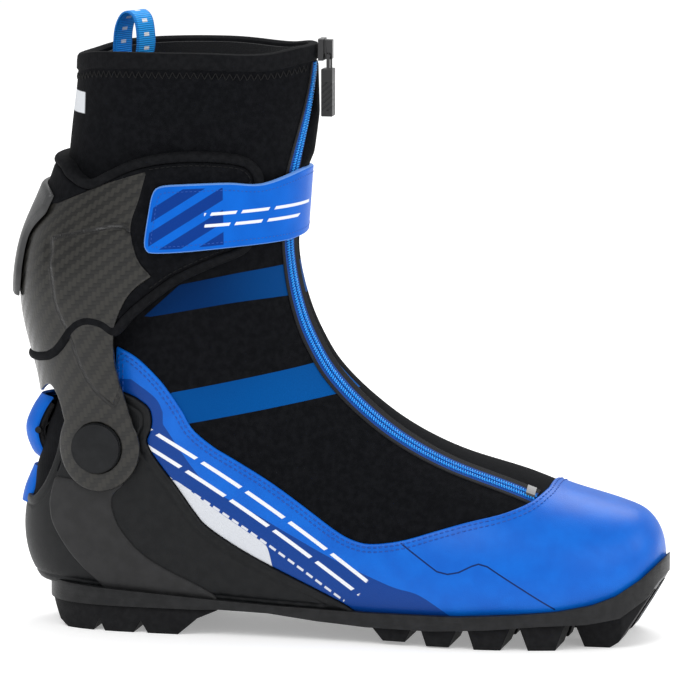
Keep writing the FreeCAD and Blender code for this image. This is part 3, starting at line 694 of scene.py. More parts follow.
def fleece(spot):  # pale pile, with a black band under the rim
    fluff = noise(spot, 1.1, 6.0, 0.7)
    rim = (axis(spot, 2) - axis(spot, 0) * 0.05).ramp(257.5, 258.5)
    pale = fluff.ramp(0.3, 0.7).tint((0.10, 0.103, 0.11), (0.27, 0.275, 0.29))
    return {"Base_Color": rim.tint(pale, (0.010, 0.0105, 0.012)),
            "Roughness": fluff * 0.1 + 0.86, "height": fluff * 0.7}


def binding(spot):  # soft stretch tape
    tone = noise(spot, 0.4, 3.0)
    return {"Base_Color": tone.ramp(0.3, 0.7).tint((0.0040, 0.0043, 0.0052), (0.0075, 0.0078, 0.0090)),
            "Roughness": tone * 0.1 + 0.76, "height": knit(spot, 0.9, 0.05) + noise(spot, 1.8) * 0.12}


def webbing(spot):  # blue ribbon with a cross rib and white dashes
    across, along = mark(spot, "girth").maths("ABSOLUTE"), mark(spot, "rise")
    rib = along.wave(0.95)
    dash = (along / 6.2).maths("FRACT").maths("SUBTRACT", 0.5).maths("ABSOLUTE").ramp(0.14, 0.12)
    blue = rib.tint((0.0, 0.19, 0.58), (0.0, 0.36, 0.92))
    blue = across.ramp(4.9, 5.3).tint(blue, (0.0, 0.17, 0.56))
    return {"Base_Color": (across.ramp(1.75, 1.55) * dash).tint(blue, (0.75, 0.78, 0.82)),
            "Roughness": rib * 0.15 + 0.5,
            "height": rib * 0.18}


def hookPile(spot):
    loops = cells(spot, 2.6)
    return {"Base_Color": loops.tint((0.004, 0.004, 0.005), (0.014, 0.014, 0.016)), "Roughness": loops * 0.1 + 0.8,
            "height": loops * 0.5}


def zipTape(spot):
    rib = mark(spot, "rise").wave(0.8)
    middle = mark(spot, "girth").maths("ABSOLUTE").ramp(3.85, 3.6)
    black = rib.tint((0.0030, 0.0033, 0.0042), (0.0062, 0.0066, 0.0080))
    blue = rib.tint((0.0, 0.035, 0.20), (0.0, 0.06, 0.30))
    return {"Base_Color": middle.tint(black, blue), "Roughness": rib * 0.1 + 0.7, "height": rib * 0.08}


def strapSheet(spot):
    grain = cells(spot, 2.4)
    outer = axis(spot, 1).ramp(2.0, 0.0)
    x, z = axis(spot, 0), axis(spot, 2)
    slant = (z - 176.0) * 0.84 - (x + 80.0) * 0.54
    step = slant / 8.6
    bar = (step - step.maths("FLOOR") - 0.5).maths("ABSOLUTE").ramp(0.30, 0.28)
    weldAndEdgeHighlight = mark(spot, "edge")
    printed = bar * x.ramp(-46.0, -46.5) * weldAndEdgeHighlight.ramp(1.9, 2.1) * outer * slant.ramp(19.0, 18.5)
    frames = doubleLine(x + 54.0, z - 191.0 - (x + 50.0) * 0.055, 13.0, 5.4, 2.6, 0.7)
    brokenLines = frames * x.ramp(-54.5, -54.0) * outer
    colour = noise(spot, 0.07, 3.0).ramp(0.25, 0.8).tint((0.0, 0.098, 0.50), (0.0, 0.120, 0.58))
    colour = printed.tint(colour, (0.0, 0.032, 0.22))
    colour = brokenLines.tint(colour, white)
    # painted highlight: a pale blue band along the rounded edge of the strap; the same edge distance also keeps the
    # print off the welded border
    colour = (weldAndEdgeHighlight.ramp(0.75, 0.45) * 0.5).tint(colour, (0.25, 0.45, 0.80))
    return {"Base_Color": colour, "Roughness": grain * 0.08 + 0.34, "height": grain * 0.03 + brokenLines * 0.04}


def footbedCloth(spot):
    weave = axis(spot, 0).wave(1.0) * axis(spot, 1).wave(1.0)
    return surface(weave, ((0.012, 0.013, 0.016), (0.035, 0.037, 0.042)), weave, 0.1, 0.82, 0.2)


def boardFibre(spot):
    fibre = noise(spot, 1.4, 6.0, 0.7)
    return surface(fibre, ((0.16, 0.14, 0.11), (0.30, 0.27, 0.22)), fibre, 0.1, 0.8, 0.2)


def threadBlue(spot):
    twist = noise(spot, 3.0)
    return surface(twist, ((0.001, 0.045, 0.28), (0.001, 0.080, 0.42)), twist, 0.1, 0.5)


def threadBlack(spot):
    twist = noise(spot, 3.0)
    return surface(twist, ((0.0022, 0.0022, 0.0025), (0.0045, 0.0045, 0.005)), twist, 0.1, 0.6)


def coilBlue(spot):
    shade = noise(spot, 1.5)
    return surface(shade, ((0.003, 0.24, 0.78), (0.02, 0.42, 1.0)), shade, 0.1, 0.3)


looks = {}
for build, constants in (
        (softBlack, dict(Sheen_Weight=0.01, Sheen_Roughness=0.5, Specular_IOR_Level=0.04)),
        (striped, dict(Sheen_Weight=0.01, Sheen_Roughness=0.5, Specular_IOR_Level=0.04)),
        (blueSheet, dict(Specular_IOR_Level=0.09)),
        (randSheet, dict(Coat_Weight=0.25, Coat_Roughness=0.36, Specular_IOR_Level=0.09)),
        (strapSheet, dict(Specular_IOR_Level=0.09)), (blackPlastic, dict(Specular_IOR_Level=0.2)),
        (satinBand, dict(Specular_IOR_Level=0.2)),
        (carbonWeave, dict(Coat_Weight=0.3, Coat_Roughness=0.22, Specular_IOR_Level=0.25)),
        (spoilerSheet, dict(Specular_IOR_Level=0.4)), (counterSheet, dict(Specular_IOR_Level=0.2)),
        (pullRubber, dict(Specular_IOR_Level=0.5)), (rubber, dict(Specular_IOR_Level=0.12)),
        (solePlate, dict(Specular_IOR_Level=0.2)), (steel, dict(Metallic=1.0)),
        (gunMetal, dict(Metallic=0.6, Coat_Weight=0.5, Coat_Roughness=0.1)),
        (fleece, dict(Sheen_Weight=0.15, Specular_IOR_Level=0.2)), (binding, dict(Specular_IOR_Level=0.07)),
        (webbing, dict(Specular_IOR_Level=0.3)), (hookPile, dict(Specular_IOR_Level=0.3)),
        (zipTape, dict(Specular_IOR_Level=0.3)), (footbedCloth, {}), (boardFibre, {}), (threadBlue, {}),
        (threadBlack, dict(Specular_IOR_Level=0.2)), (coilBlue, {})):
    looks[build.__name__] = newLook(build.__name__, build, **constants)
print("materials ready")

# Side outlines in millimetres: x, z
soleTop = curve([(-175, 24), (-145, 22), (-126, 21), (-87, 19), (-54, 17), (-20, 15.5), (20, 14.5), (62, 15),
                 (88, 16.5),
                 (107, 18), (122, 20.5), (132, 24), (142, 30.5), (149, 37), (160, 46)], closed=False)
collarTop = curve([(-140, 258.5), (-121, 260.5), (-104, 264), (-60, 265), (-30, 264), (-12, 266.5), (20, 268)],
                  closed=False)
pivot = (-104, 86)

upper = {
    "stripes": [
        [(-67, 160.5), (-41, 165.5), (-17, 168.5), (-10, 169), (-8, 154), (-17, 153.5), (-26, 153.5), (-47, 151.5), (-84, 145)],
        [(-72, 111), (20, 129), (20, 113), (-64, 97)]],
    "corners": [(0, 2, 3, 4, 8), (0, 1, 2, 3)], "innerEnd": -14,
    "sole": -3.0, "collar": -0.6, "thickness": 3.5, "heelLow": 60, "heelHigh": 102, "heelFront": -118,
    "heelLift": 2.0,
    "liningSole": -2.0, "liningCollar": -1.6, "liningOuter": -3.6, "liningInner": -5.9,
}


def makeUpper():  # softshell, lining and the inside of the foot
    v = upper
    x, y, z = spots(upperSkin)
    outer = either(*[area(upperSkin, curve(line, sharp)) for line, sharp in zip(v["stripes"], v["corners"])])
    stripes = np.where(y < 0, outer, both(outer, v["innerEnd"] - x))
    field = both(over(upperSkin, soleTop, v["sole"]), -over(upperSkin, collarTop, v["collar"]))
    fill = both(np.minimum(z - v["heelLow"], v["heelHigh"] - z) * 0.6, (v["heelFront"] - x) * 1.5)
    piece = overlay("softshell", upperSkin, field, [(0, 0.0), (0.5, 0.0)], -v["thickness"], looks["striped"], None,
                    lift=v["heelLift"] * ease(fill / 8), marks={"stripe": stripes}, slotName="neoprene")
    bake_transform(piece)
    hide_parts("softshell_lower", "ankle_gusset", "ankle_sleeve")
    inner = both(over(upperSkin, soleTop, v["liningSole"]), -over(upperSkin, collarTop, v["liningCollar"]))
    lining = overlay("lining", upperSkin, inner, [(0, v["liningOuter"])], v["liningInner"], looks["fleece"], None,
                     slotName="fleece")
    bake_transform(lining)
    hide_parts("liner_lower", "collar_liner")
    print("upper ready")


rand = {
    "top": [(-97, 132), (-87, 127), (-77, 118), (-71, 110.5), (-66, 103), (-61, 94.5), (-52, 87), (-41, 80.5),
            (-25, 71),
            (-10, 61), (4, 51.5), (13, 47), (22, 45.5), (36, 47.5), (51, 52), (65, 56), (80, 59.5), (91, 63.5),
            (97, 68),
            (99, 90), (170, 92)],
    "dark": [(-89, 117), (-78, 109), (-74.5, 102.5), (-74.5, 97), (-55, 70.5), (-28, 55), (-17, 49), (4, 38.5),
             (31, 27.5), (46, 23.5), (64, 12)],
    "pale": [(-71.8, 73.2), (-66.4, 70), (-52.5, 60), (-38.6, 51), (-28.5, 44.5), (-25.7, 41.3),
             (-23.2, 32), (-32.5, 34.6), (-41, 39), (-52.5, 47), (-61.8, 57), (-68, 66)],
    "rear": 96.5, "sole": -1.2, "profile": [(0, 0.25), (0.12, 0.75), (0.35, 1.1), (0.8, 1.3)], "base": 0.06,
    "seams": (1.7, 3.6), "seamHeight": 1.3,
}


def makeRand():
    v = rand
    x, y, z = spots(upperSkin)
    top = curve(v["top"], sharp=(18, 19), closed=False)
    below = -over(upperSkin, np.concatenate([[(-400, 132)], top]))
    field = both(below, -area(upperSkin, counterLine) - 0.1, x + v["rear"], over(upperSkin, soleTop, v["sole"]))
    darkLine = curve(v["dark"], sharp=(2, 3), closed=False)
    dark = -over(upperSkin, np.concatenate([[(-200, 117)], darkLine, [(80, -40), (300, -60)]]))
    pale = np.where(y < 0, area(upperSkin, curve(v["pale"], sharp=(0, 6, 7))), -5.0)
    overlay("rand", upperSkin, field, v["profile"], v["base"], looks["randSheet"], "boot",
            marks={"dark": dark, "pale": pale}, replaced=["rand"], slotName="blue_synthetic")
    seam = both(below, x + v["rear"])
    for k, inset in enumerate(v["seams"]):
        stitches("randStitch%d" % k, isoLines(upperSkin, seam, inset), looks["threadBlue"], "boot", v["seamHeight"],
                 keep=lambda p: p[2] > 20)
    print("rand ready")


counterLine = curve([(-97, 111), (-89, 109.5), (-84.5, 107), (-81, 104), (-79.7, 99.5), (-80.2, 94), (-82, 89.5),
                     (-80, 84),
                     (-75, 77), (-68, 68), (-60, 57), (-54, 50.5), (-39, 41), (-23, 33), (-2, 23.5), (12, 16.5),
                     (20, 9),
                     (-160, 9), (-160, 58.5), (-139, 58.5), (-136, 61), (-131, 68), (-126, 80), (-122, 96),
                     (-112, 106)],
                    sharp=(16, 17, 18, 19), steps=5)
counter = {
    "bore": 4.1, "sole": -1.2, "base": 0.08,
    "profile": [(0, 0.3), (0.2, 1.3), (0.55, 1.95), (1.2, 2.3), (3.2, 2.3), (3.7, 1.95), (4.4, 1.95), (4.9, 2.25)],
    "band": [(-87, 72), (-95, 66.5), (-98, 62), (-97.5, 56), (-94, 48), (-85, 38), (-73, 30.5), (-57, 23), (-50, 18),
             (-50, 10), (-95, 10), (-105, 22), (-113, 29.5), (-120, 37.5), (-126.5, 48), (-128, 55), (-127.5, 62),
             (-122, 80)],
    "armRoom": 19.0, "bandTop": 70.0, "bandProfile": [(0, 2.1), (0.15, 2.75), (0.45, 3.15), (1.0, 3.35)],
    "bandBase": 2.0,
}


def makeCounter():
    v = counter
    x, y, z = spots(upperSkin)
    base = over(upperSkin, soleTop, v["sole"])
    field = both(area(upperSkin, counterLine), base, -disc(upperSkin, *pivot, v["bore"]))
    overlay("heelCounter", upperSkin, field, v["profile"], v["base"], looks["counterSheet"], "boot",
            replaced=["heel_counter", "counter_piping"], slotName="counter_plastic")
    level = np.array([(-200.0, v["bandTop"]), (0.0, v["bandTop"])])
    band = both(area(upperSkin, curve(v["band"], sharp=(0, 9, 10, 17))), base, -disc(upperSkin, *pivot, v["armRoom"]),
                -over(upperSkin, level))
    for side, name, node in ((-1, "outer", "chassis_band_lateral"), (1, "inner", "chassis_band_medial")):
        overlay("heelBand_" + name, upperSkin, both(band, side * (y - 2)), v["bandProfile"], v["bandBase"],
                looks["satinBand"], "boot", replaced=[node], slotName="band_plastic")
    print("heel counter ready")


carbon = {
    "outline": [(-84.1, 88), (-87, 97), (-91, 110), (-95, 125), (-95.2, 140), (-91, 152), (-86, 159), (-78, 165),
                (-84, 172), (-87, 182), (-87, 189.5), (-83.5, 200), (-80, 213), (-99, 207), (-114, 201), (-126, 196),
                (-165, 190), (-165, 107), (-138, 107), (-130, 112.5), (-125, 108), (-122, 100), (-118, 86)],
    "ring": 20.0, "bore": 11.45, "profile": [(0, -0.7), (0.15, -0.3), (0.4, -0.08), (0.9, 0.0), (1.6, 0.0)],
    "base": -2.6,
    "panel": [(-126, 180.5), (-111.5, 184), (-93.2, 187.6), (-87.5, 185), (-70, 166), (-82, 154), (-90, 138),
              (-91, 118),
              (-95.5, 105.2), (-101, 109.6), (-107, 115.8), (-112.1, 125.3), (-117.1, 138.3), (-120.3, 144.2),
              (-123.5, 151.4), (-125.0, 160), (-126.7, 170.4)],
    "spoiler": [(-165, 150), (-145, 151), (-144, 158), (-143, 168), (-140, 180), (-132, 189), (-124, 196),
                (-135, 203),
                (-165, 203)],
    "spoilerProfile": [(0, 0.2), (0.3, 1.2), (0.9, 2.0), (2.0, 2.4)], "spoilerHalf": 30, "spoilerBase": 0.1,
}


def carbonShape():
    shape = area(cuffSkin, curve(carbon["outline"], sharp=(0, 7, 12, 15, 16, 17, 18, 22), steps=5))
    return both(either(shape, disc(cuffSkin, *pivot, carbon["ring"])), -disc(cuffSkin, *pivot, carbon["bore"]))


def makeCarbon():
    v = carbon
    x, y, z = spots(cuffSkin)
    raised = area(cuffSkin, curve(v["panel"], sharp=(0, 3, 4, 8)))
    recess = np.hypot((x + 127.5) / 2.2, (z - 175.0) / 5.0)
    lift = ease((raised + 1.5) / 3.0) - 1.0 - 0.8 * np.clip(1.4 - recess, 0, 1)
    # the mark at the panel crease carries the distance to it; the carbon look paints shade along that crease
    overlay("carbonCuff", cuffSkin, carbonShape(), v["profile"], v["base"], looks["carbonWeave"], "cuff",
            marks={"shadedGroove": np.abs(raised)}, lift=lift, replaced=["carbon_cuff"], slotName="carbon")
    spoiler = both(area(cuffSkin, curve(v["spoiler"], sharp=(0, 1, 6, 8))), v["spoilerHalf"] - np.abs(y))
    overlay("rearSpoiler", cuffSkin, spoiler, v["spoilerProfile"], v["spoilerBase"], looks["spoilerSheet"], "cuff",
            replaced=["rear_spoiler"], slotName="spoiler_plastic")
    print("carbon ready")


pad = {
    "outline": [(-95, 137), (-86, 146), (-75, 155), (-65, 162), (-50, 169), (-38, 174), (-33.5, 180), (-30.5, 192),
                (-29.5, 203), (-30, 211), (-35, 217.5), (-44, 220.3), (-60, 221.3), (-76, 220), (-89, 216.8),
                (-99, 212.3),
                (-109, 208), (-118, 211), (-128, 216), (-165, 216), (-165, 120), (-128, 124), (-112, 140),
                (-103, 141)],
    "roll": [(0, -2.8), (0.15, -1.5), (0.5, -0.5), (1.0, 0.15), (1.7, 0.5), (2.38, 0.6)],
    "rollWidth": 4.75, "rollBase": -6.2,
    "inset": 4.6, "wing": [(0, -1.2), (0.3, -0.75), (0.8, -0.45), (1.5, -0.3), (6.0, -0.3)], "wingBase": -2.2,
    "foam": [(0, -3.4), (0.8, -2.8), (2.0, -2.5)], "foamBase": -5.0, "fill": 0.8, "seam": 6.0, "seamRear": -79,
}


def makePad():
    v = pad
    field = area(cuffSkin, curve(v["outline"], sharp=(19, 20), steps=5))
    overlay("cuffRoll", cuffSkin, both(field, v["rollWidth"] - field), v["roll"], v["rollBase"], looks["binding"],
            "cuff",
            replaced=["cuff_edge_binding"], slotName="pad_fabric")
    panel = both(field - v["inset"], 0.5 - carbonShape())
    overlay("cuffWing", cuffSkin, panel, v["wing"], v["wingBase"], looks["softBlack"], "cuff",
            replaced=["cuff_wing_lateral", "cuff_wing_medial"], slotName="wing_synthetic")
    foam = overlay("cuffPad", cuffSkin, field - v["inset"], v["foam"], v["foamBase"], looks["softBlack"], "cuff",
                   replaced=["cuff_pad"], slotName="pad_fabric")
    stitches("padStitch", isoLines(cuffSkin, field, v["seam"]), looks["threadBlack"], "cuff", -0.3,
             keep=lambda p: p[0] > v["seamRear"])
    print("pad ready")


strap = {
    "outer": [(-64, 207), (-74, 206), (-77.5, 202.5), (-79.5, 193), (-81.3, 181), (-80.5, 177), (-77.5, 175.5),
              (-64, 176), (-40, 178), (-10, 180), (10, 180), (10, 213), (-16, 212), (-31, 206.5), (-45, 207.5)],
    "inner": [(-32, 183), (-10, 181), (10, 180), (10, 213), (-16, 212), (-32, 206)],
    "turn": 14, "profile": [(0, 0.7), (0.12, 1.6), (0.4, 2.2), (0.9, 2.5)],
    "base": 0.5, "seam": 3.2, "seamHeight": 2.45,
}


def makeStrap():
    v = strap
    x, y, z = spots(cuffSkin)
    share = np.clip((y + v["turn"]) / (2 * v["turn"]), 0, 1)  # from the outer side's shape to the inner side's
    field = area(cuffSkin, curve(v["outer"], sharp=(9, 10, 11, 12), steps=5)) * (1 - share)
    field = field + area(cuffSkin, curve(v["inner"], sharp=(0, 1, 2, 3, 4, 5))) * share
    overlay("strap", cuffSkin, field, v["profile"], v["base"], looks["strapSheet"], "strap", replaced=["cuff_strap"],
            slotName="strap_synthetic")
    stitches("strapStitch", isoLines(cuffSkin, field, v["seam"]), looks["threadBlue"], "strap", v["seamHeight"],
             pitch=1.9,
             length=1.2, radius=0.16)
    print("strap ready")


collar = {
    "profile": [(-3.6, -7.0), (-4.4, -6.0), (-4.5, -2.0), (-4.0, -0.2), (-2.6, 0.75), (-1.2, 0.85), (0.1, 0.5),
                (0.75, -0.6),
                (0.9, -2.5), (0.85, -6.2), (0.1, -7.0), (-0.8, -6.0), (-1.0, -2.2), (-2.0, -1.4), (-3.2, -2.2),
                (-3.3, -6.0)],
    "seam": -9.4, "pitch": 1.6, "front": -14,
}


def makeCollar():
    v = collar
    line, normals = max(isoLines(upperSkin, over(upperSkin, collarTop)), key=lambda found: len(found[0]))
    points, ways, ups = evenly(line, normals, v["pitch"])
    sweep("collarBinding", points[:-1], ups[:-1], v["profile"], looks["binding"], "cuff", closed=True,
          replaced=["collar_binding"], slotName="neoprene")
    low = isoLines(upperSkin, over(upperSkin, collarTop), v["seam"])
    stitches("collarStitch", low, looks["threadBlack"], "cuff", 0.05, pitch=v["pitch"], zigzag=1.5, radius=0.26,
             keep=lambda p: p[0] < v["front"])
    print("collar ready")


def surfaceLine(skin, points):  # moves a line onto the skin, with normals
    grid = skin["points"].reshape(-1, 3)
    flat = skin["normals"].reshape(-1, 3)
    found, ups = [], []
    for point in points:
        away = np.linalg.norm(grid - point, axis=1)
        nearest = np.argsort(away)[:6]
        weight = 1 / (away[nearest] + 0.05) ** 2
        weight /= weight.sum()
        normal = weight @ flat[nearest]
        normal /= np.linalg.norm(normal)
        found.append(point - normal * ((point - weight @ grid[nearest]) @ normal))
        ups.append(normal)
    return np.array(found), np.array(ups)


zipper = {
    "route": [(-13, 0, 268), (-13, -1, 250), (-17, -6, 230), (-19, -11, 210), (-21, -11, 195), (-22, -8, 172),
              (-18, -9, 152),
              (-9, -10, 133), (6, -11, 113), (24, -12, 97), (46, -14, 84), (70, -16, 73), (95, -17.5, 62)],
    "top": 259.0, "end": 93,
    "tape": [(7.0, 0.05), (6.6, 0.4), (4.2, 0.5), (3.7, 0.1), (-3.7, 0.1), (-4.1, 0.5), (-5.2, 0.45), (-5.5, 0.05),
             (-5.2, -0.3), (6.6, -0.3)],
    "coilPitch": 1.2, "coilSteps": 5, "coilOffset": 1.35, "coilWide": 0.85, "coilHigh": 0.4, "coilRise": 0.62,
    "wire": 0.3,
    "edgeOffset": 3.2, "flapWidth": 17.0, "flapGap": 4.3, "flapLow": 206, "flapLift": 2.8, "fill": 0.7,
    "flap": [(0, 0.1), (0.8, 0.6), (2.0, 0.9)], "flapBase": -0.4,
}


def makeCoil(points, ups):  # the two rows of the zip's spiral coil
    v = zipper
    corners = v["coilSteps"]
    vertices, faces = [], []
    dense, ways, ups = evenly(points, ups, v["coilPitch"] / corners)
    for side in (-1, 1):
        start = len(vertices)
        for k, (point, way, up, across) in enumerate(zip(dense, ways, ups, np.cross(ups, ways))):
            turn = k * 2 * math.pi / corners
            centre = point + across * (side * v["coilOffset"] + v["coilWide"] * math.cos(turn))
            centre = centre + up * (v["coilRise"] + v["coilHigh"] * math.sin(turn))
            outward = across * math.cos(turn) + up * math.sin(turn)
            for n in range(corners):
                spin = n * 2 * math.pi / corners
                vertices.append(centre + (outward * math.cos(spin) + way * math.sin(spin)) * v["wire"])
        for k in range(len(dense) - 1):
            for n in range(corners):
                a, b = start + k * corners + n, start + k * corners + (n + 1) % corners
                faces.append([a, b, b + corners, a + corners])
        faces.append([start + n for n in range(corners - 1, -1, -1)])
        faces.append([len(vertices) - corners + n for n in range(corners)])
    return finishPiece("zipCoil", vertices, faces, looks["coilBlue"], None, slotName="zip_blue",
                       replaced=["zip_teeth_lower", "zip_teeth_upper"], sharpAngle=80)


def makePlacket(points):  # the soft flap beside the upper zip
    v = zipper
    x, y, z = spots(upperSkin)
    near = np.full(z.shape, 1e9)
    for point in points[points[:, 2] > 195][::3]:
        near = np.minimum(near, np.linalg.norm(upperSkin["points"] - point, axis=2))
    beside = np.where(y > np.interp(z, points[::-1, 2], points[::-1, 1]), 50.0, -50.0)
    field = both(v["flapWidth"] - near, near - v["flapGap"], beside, z - v["flapLow"], v["top"] - z)
    swell = np.clip((z - 208) / 10, 0, 1) * np.clip((260 - z) / 24, 0, 1)
    lift = v["flapLift"] * swell * np.sin(np.pi * np.clip((near - 3.5) / 14, 0, 1)) ** 0.7
    flap = overlay("zipPlacket", upperSkin, field, v["flap"], v["flapBase"], looks["softBlack"], "cuff", lift=lift,
                   slotName="neoprene")


def makeZip():
    v = zipper
    line, ups = surfaceLine(upperSkin, curve(v["route"], closed=False, steps=10))
    for k in range(6):
        line[1:-1] = (line[:-2] + 2 * line[1:-1] + line[2:]) / 4
    line, ups = surfaceLine(upperSkin, line)
    points, ways, ups = evenly(line, ups, 1.0)
    keep = (points[:, 2] < v["top"]) & (points[:, 0] < v["end"])
    points, ways, ups = points[keep], ways[keep], ups[keep]
    across = np.cross(ups, ways)
    pieces = [sweep("zipTape", points, across, v["tape"], looks["zipTape"], None,
                    replaced=["zip_tape_lower", "zip_tape_upper"], slotName="zip_tape"), makeCoil(points, ups)]
    makePlacket(points)
    for side, name, look in ((-1, "outer", "threadBlack"), (1, "inner", "blueSheet")):
        edge = [(side * v["edgeOffset"] + 0.715 * math.cos(k * math.pi / 4), 0.55 + 0.33 * math.sin(k * math.pi / 4))
                for k in range(8)]
        pieces.append(sweep("zipEdge_" + name, points, across, edge, looks[look], None, slotName="blue_synthetic"))
    for piece in pieces:
        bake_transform(piece)
    print("zip ready")


def ribbon(name, sidePath, width, thickness, look, body, place=None, turn=0.0, bow=0.0, **rest):
    # a strip along a side path; bow carries its edges forward, place and turn set it elsewhere
    line = curve(sidePath, closed=False, steps=10)
    far = np.concatenate([[0], np.cumsum(np.linalg.norm(np.diff(line, axis=0), axis=1))])
    even = np.linspace(0, far[-1], 60)
    path = np.stack([np.interp(even, far, line[:, 0]), np.zeros(60), np.interp(even, far, line[:, 1])], 1)
    side = np.array([0.0, 1.0, 0.0])
    if place:
        c, s = math.cos(turn), math.sin(turn)
        matrix = np.array([[c, -s, 0], [s, c, 0], [0, 0, 1]])
        path = path @ matrix.T + [place[0], place[1], 0]
        side = matrix @ side
    piece = sweep(name, path, side, ribbonProfile(width, thickness), looks[look], body, **rest)
    for vertex in piece.data.vertices if bow else ():
        vertex.co.x += bow * mm * (vertex.co.y / mm / width * 2) ** 2


loops = {  # side path, width, thickness, look, body and how far it bows round the heel
    "rearTab": ([(-139.5, 103.5), (-143.5, 97.5), (-146.6, 90.0), (-146.4, 84.0), (-144.0, 78.0), (-141.5, 75.5)],
                26.0, 1.6, "blueSheet", "rear_tab", 7.5, ["rear_strap_tab"], "strap_synthetic"),
    "rearTabLining": ([(-139.0, 100.5), (-142.0, 95.0), (-144.2, 89.5), (-144.1, 84.5), (-142.3, 79.5)],
                      25.0, 2.2, "hookPile", "rear_tab", 7.0, [], "hook_fabric"),
    "rearAnchorLining": ([(-146.9, 54.5), (-145.3, 60.0), (-143.2, 65.5), (-141.5, 70.0)],
                         23.0, 2.2, "hookPile", "boot", 5.5, [], "hook_fabric"),
    "rearLoop": ([(-136.5, 100.0), (-139.5, 94.0), (-141.2, 88.0), (-140.5, 83.0), (-138.8, 80.5)],
                 24.0, 1.2, "hookPile", "cuff", 5.0, ["rear_strap_loop"], "hook_fabric"),
    "rearAnchor": ([(-149.0, 54.0), (-147.6, 60.0), (-145.2, 66.0), (-143.2, 70.5)],
                   24.0, 1.4, "blueSheet", "boot", 6.0, ["rear_strap_anchor"], "strap_synthetic"),
}
pull = {"path": [(2.4, 244), (0.8, 246), (0.8, 262), (1.8, 271), (5, 277), (9.5, 279), (13.5, 276.5), (15.3, 270),
                 (15.2, 262),
                 (11, 253), (4.4, 245.5)], "width": 12.0, "thickness": 1.2, "place": (-106.0, 15.6), "turn": -30}


def makeLoops():
    ribbon("pullLoop", pull["path"], pull["width"], pull["thickness"], "webbing", "cuff", pull["place"],
           math.radians(pull["turn"]), replaced=["pull_loop"], slotName="webbing_blue")
    for name, (path, width, thickness, look, body, bow, replaced, slotName) in loops.items():
        ribbon(name, path, width, thickness, look, body, bow=bow, replaced=replaced, slotName=slotName)
    print("loops ready")


tongue = {
    "outline": [(62, 82), (60, 60), (38, 60), (6, 78), (-14, 100), (-34, 124), (-34, 131), (-4, 146), (10, 120),
                (40, 96)],
    "middle": 4, "half": 15.0, "profile": [(0, -7.6), (0.8, -6.8), (2.0, -6.4)], "base": -10.6, "fill": 0.6,
}


def makeTongue():
    v = tongue
    x, y, z = spots(upperSkin)
    field = both(area(upperSkin, curve(v["outline"])), v["half"] - np.abs(y - v["middle"]))
    piece = overlay("tongue", upperSkin, field, v["profile"], v["base"], looks["softBlack"],
                    "boot", replaced=["tongue"],
                    slotName="tongue_fabric")
    print("tongue ready")


dressed = {
    "solePlate": ["outsole"], "steel": ["toe_bar", "pivot_rivet_lateral", "pivot_rivet_medial"],
    "rubber": ["heel_tread", "forefoot_lugs", "toe_lugs"], "boardFibre": ["lasting_board"],
    "footbedCloth": ["footbed"],
    "blackPlastic": ["toe_puff", "lace_guides", "pivot_bushing_lateral", "pivot_bushing_medial", "pivot_cap_lateral",
                     "pivot_cap_medial", "rear_strap_bar", "strap_anchor"],
    "hookPile": ["strap_landing_patch"], "gunMetal": ["zip_bottom_stop", "zip_slider", "zip_pull_link"],
    "pullRubber": ["zip_pull_grip"],
}
edgeRadius = {"outsole": 0.0005, "heel_tread": 0.0005, "forefoot_lugs": 0.0005, "toe_lugs": 0.0005,
              "zip_slider": 0.0009,
              "zip_pull_grip": 0.0006, "zip_pull_link": 0.0003, "strap_anchor": 0.0005, "toe_bar": 0.0002}


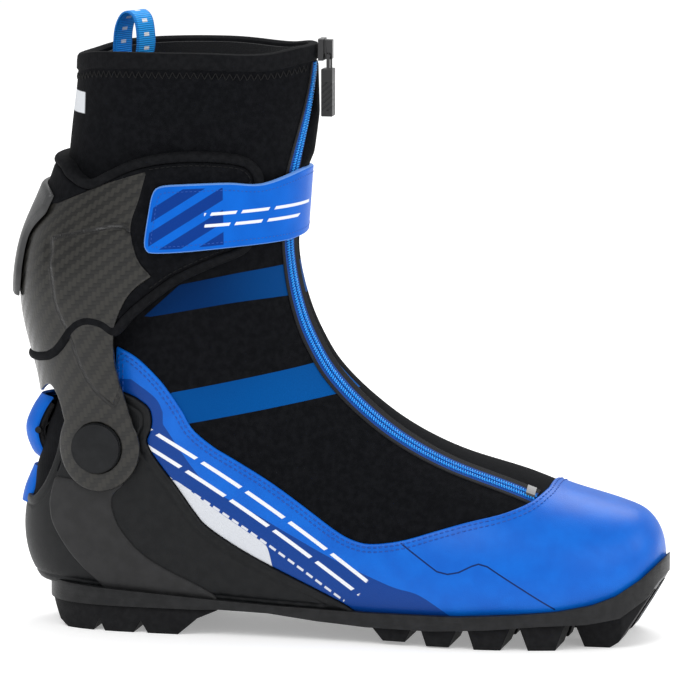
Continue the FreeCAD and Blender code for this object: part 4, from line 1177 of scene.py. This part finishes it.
def dressNodes():  # materials for the CAD nodes that stay, and rounded edges
    for look, names in dressed.items():
        for name in names:
            for place in nodes[name].material_slots:
                place.material = looks[look]
    for name, radius in edgeRadius.items():
        nodes[name].modifiers.new("weldAndEdgeHighlight", "WELD").merge_threshold = 0.000005
        edge = nodes[name].modifiers.new("round", "BEVEL")
        edge.width = radius
        edge.segments = 2
        edge.limit_method = "ANGLE"
        edge.angle_limit = math.radians(35)
        edge.harden_normals = True
    print("nodes dressed")


stage = {
    "target": (0.0039, 0, 0.1275), "azimuth": 11.6, "elevation": 8.45, "distance": 3.3, "lens": 373.4,
    "floor": 0.92, "glow": 0.3, "sky": 0.6,
    "lights": (("key", (-0.9, -1.7, 2.3), 1.5, 34), ("fill", (1.9, -1.5, 1.3), 1.6, 14),
               ("rim", (0.3, 1.6, 2.0), 1.4, 30), ("front", (2.2, 0.2, 1.2), 1.0, 10)),  # name, place, size, power
}


def makeStage():
    v = stage
    bpy.ops.mesh.primitive_plane_add(size=60)
    floor = bpy.context.object
    floor.name = "floor"
    floor.data.materials.append(newLook("floorPaint", lambda spot: {"Roughness": noise(spot, 0.01) * 0.1 + 0.6},
                                        Base_Color=(v["floor"],) * 3 + (1.0,), Emission_Color=(1, 1, 1, 1),
                                        Emission_Strength=v["glow"]))
    bpy.context.scene.view_settings.view_transform = "Standard"
    target = Vector(v["target"])
    turn, lift = math.radians(v["azimuth"]), math.radians(v["elevation"])
    back = Vector((math.sin(turn) * math.cos(lift), -math.cos(turn) * math.cos(lift), math.sin(lift)))
    bpy.ops.object.camera_add(location=target + back * v["distance"],
                              rotation=back.to_track_quat("Z", "Y").to_euler())
    camera = bpy.context.object
    camera.data.lens = v["lens"]
    camera.data.clip_end = 60
    bpy.context.scene.camera = camera
    for name, place, size, power in v["lights"]:
        bpy.ops.object.light_add(type="AREA", location=place)
        light = bpy.context.object
        light.name = name
        light.data.size = size
        light.data.energy = power
        light.rotation_euler = (light.location - target).to_track_quat("Z", "Y").to_euler()
    world = bpy.context.scene.world or bpy.data.worlds.new("world")
    bpy.context.scene.world = world
    world.use_nodes = True
    world.node_tree.nodes["Background"].inputs[0].default_value = (1, 1, 1, 1)
    world.node_tree.nodes["Background"].inputs[1].default_value = v["sky"]
    print("stage ready")


for make in (makeUpper, makeRand, makeCounter, makeCarbon, makePad, makeStrap, makeCollar, makeZip, makeLoops,
             makeTongue,
             dressNodes, makeStage):
    make()
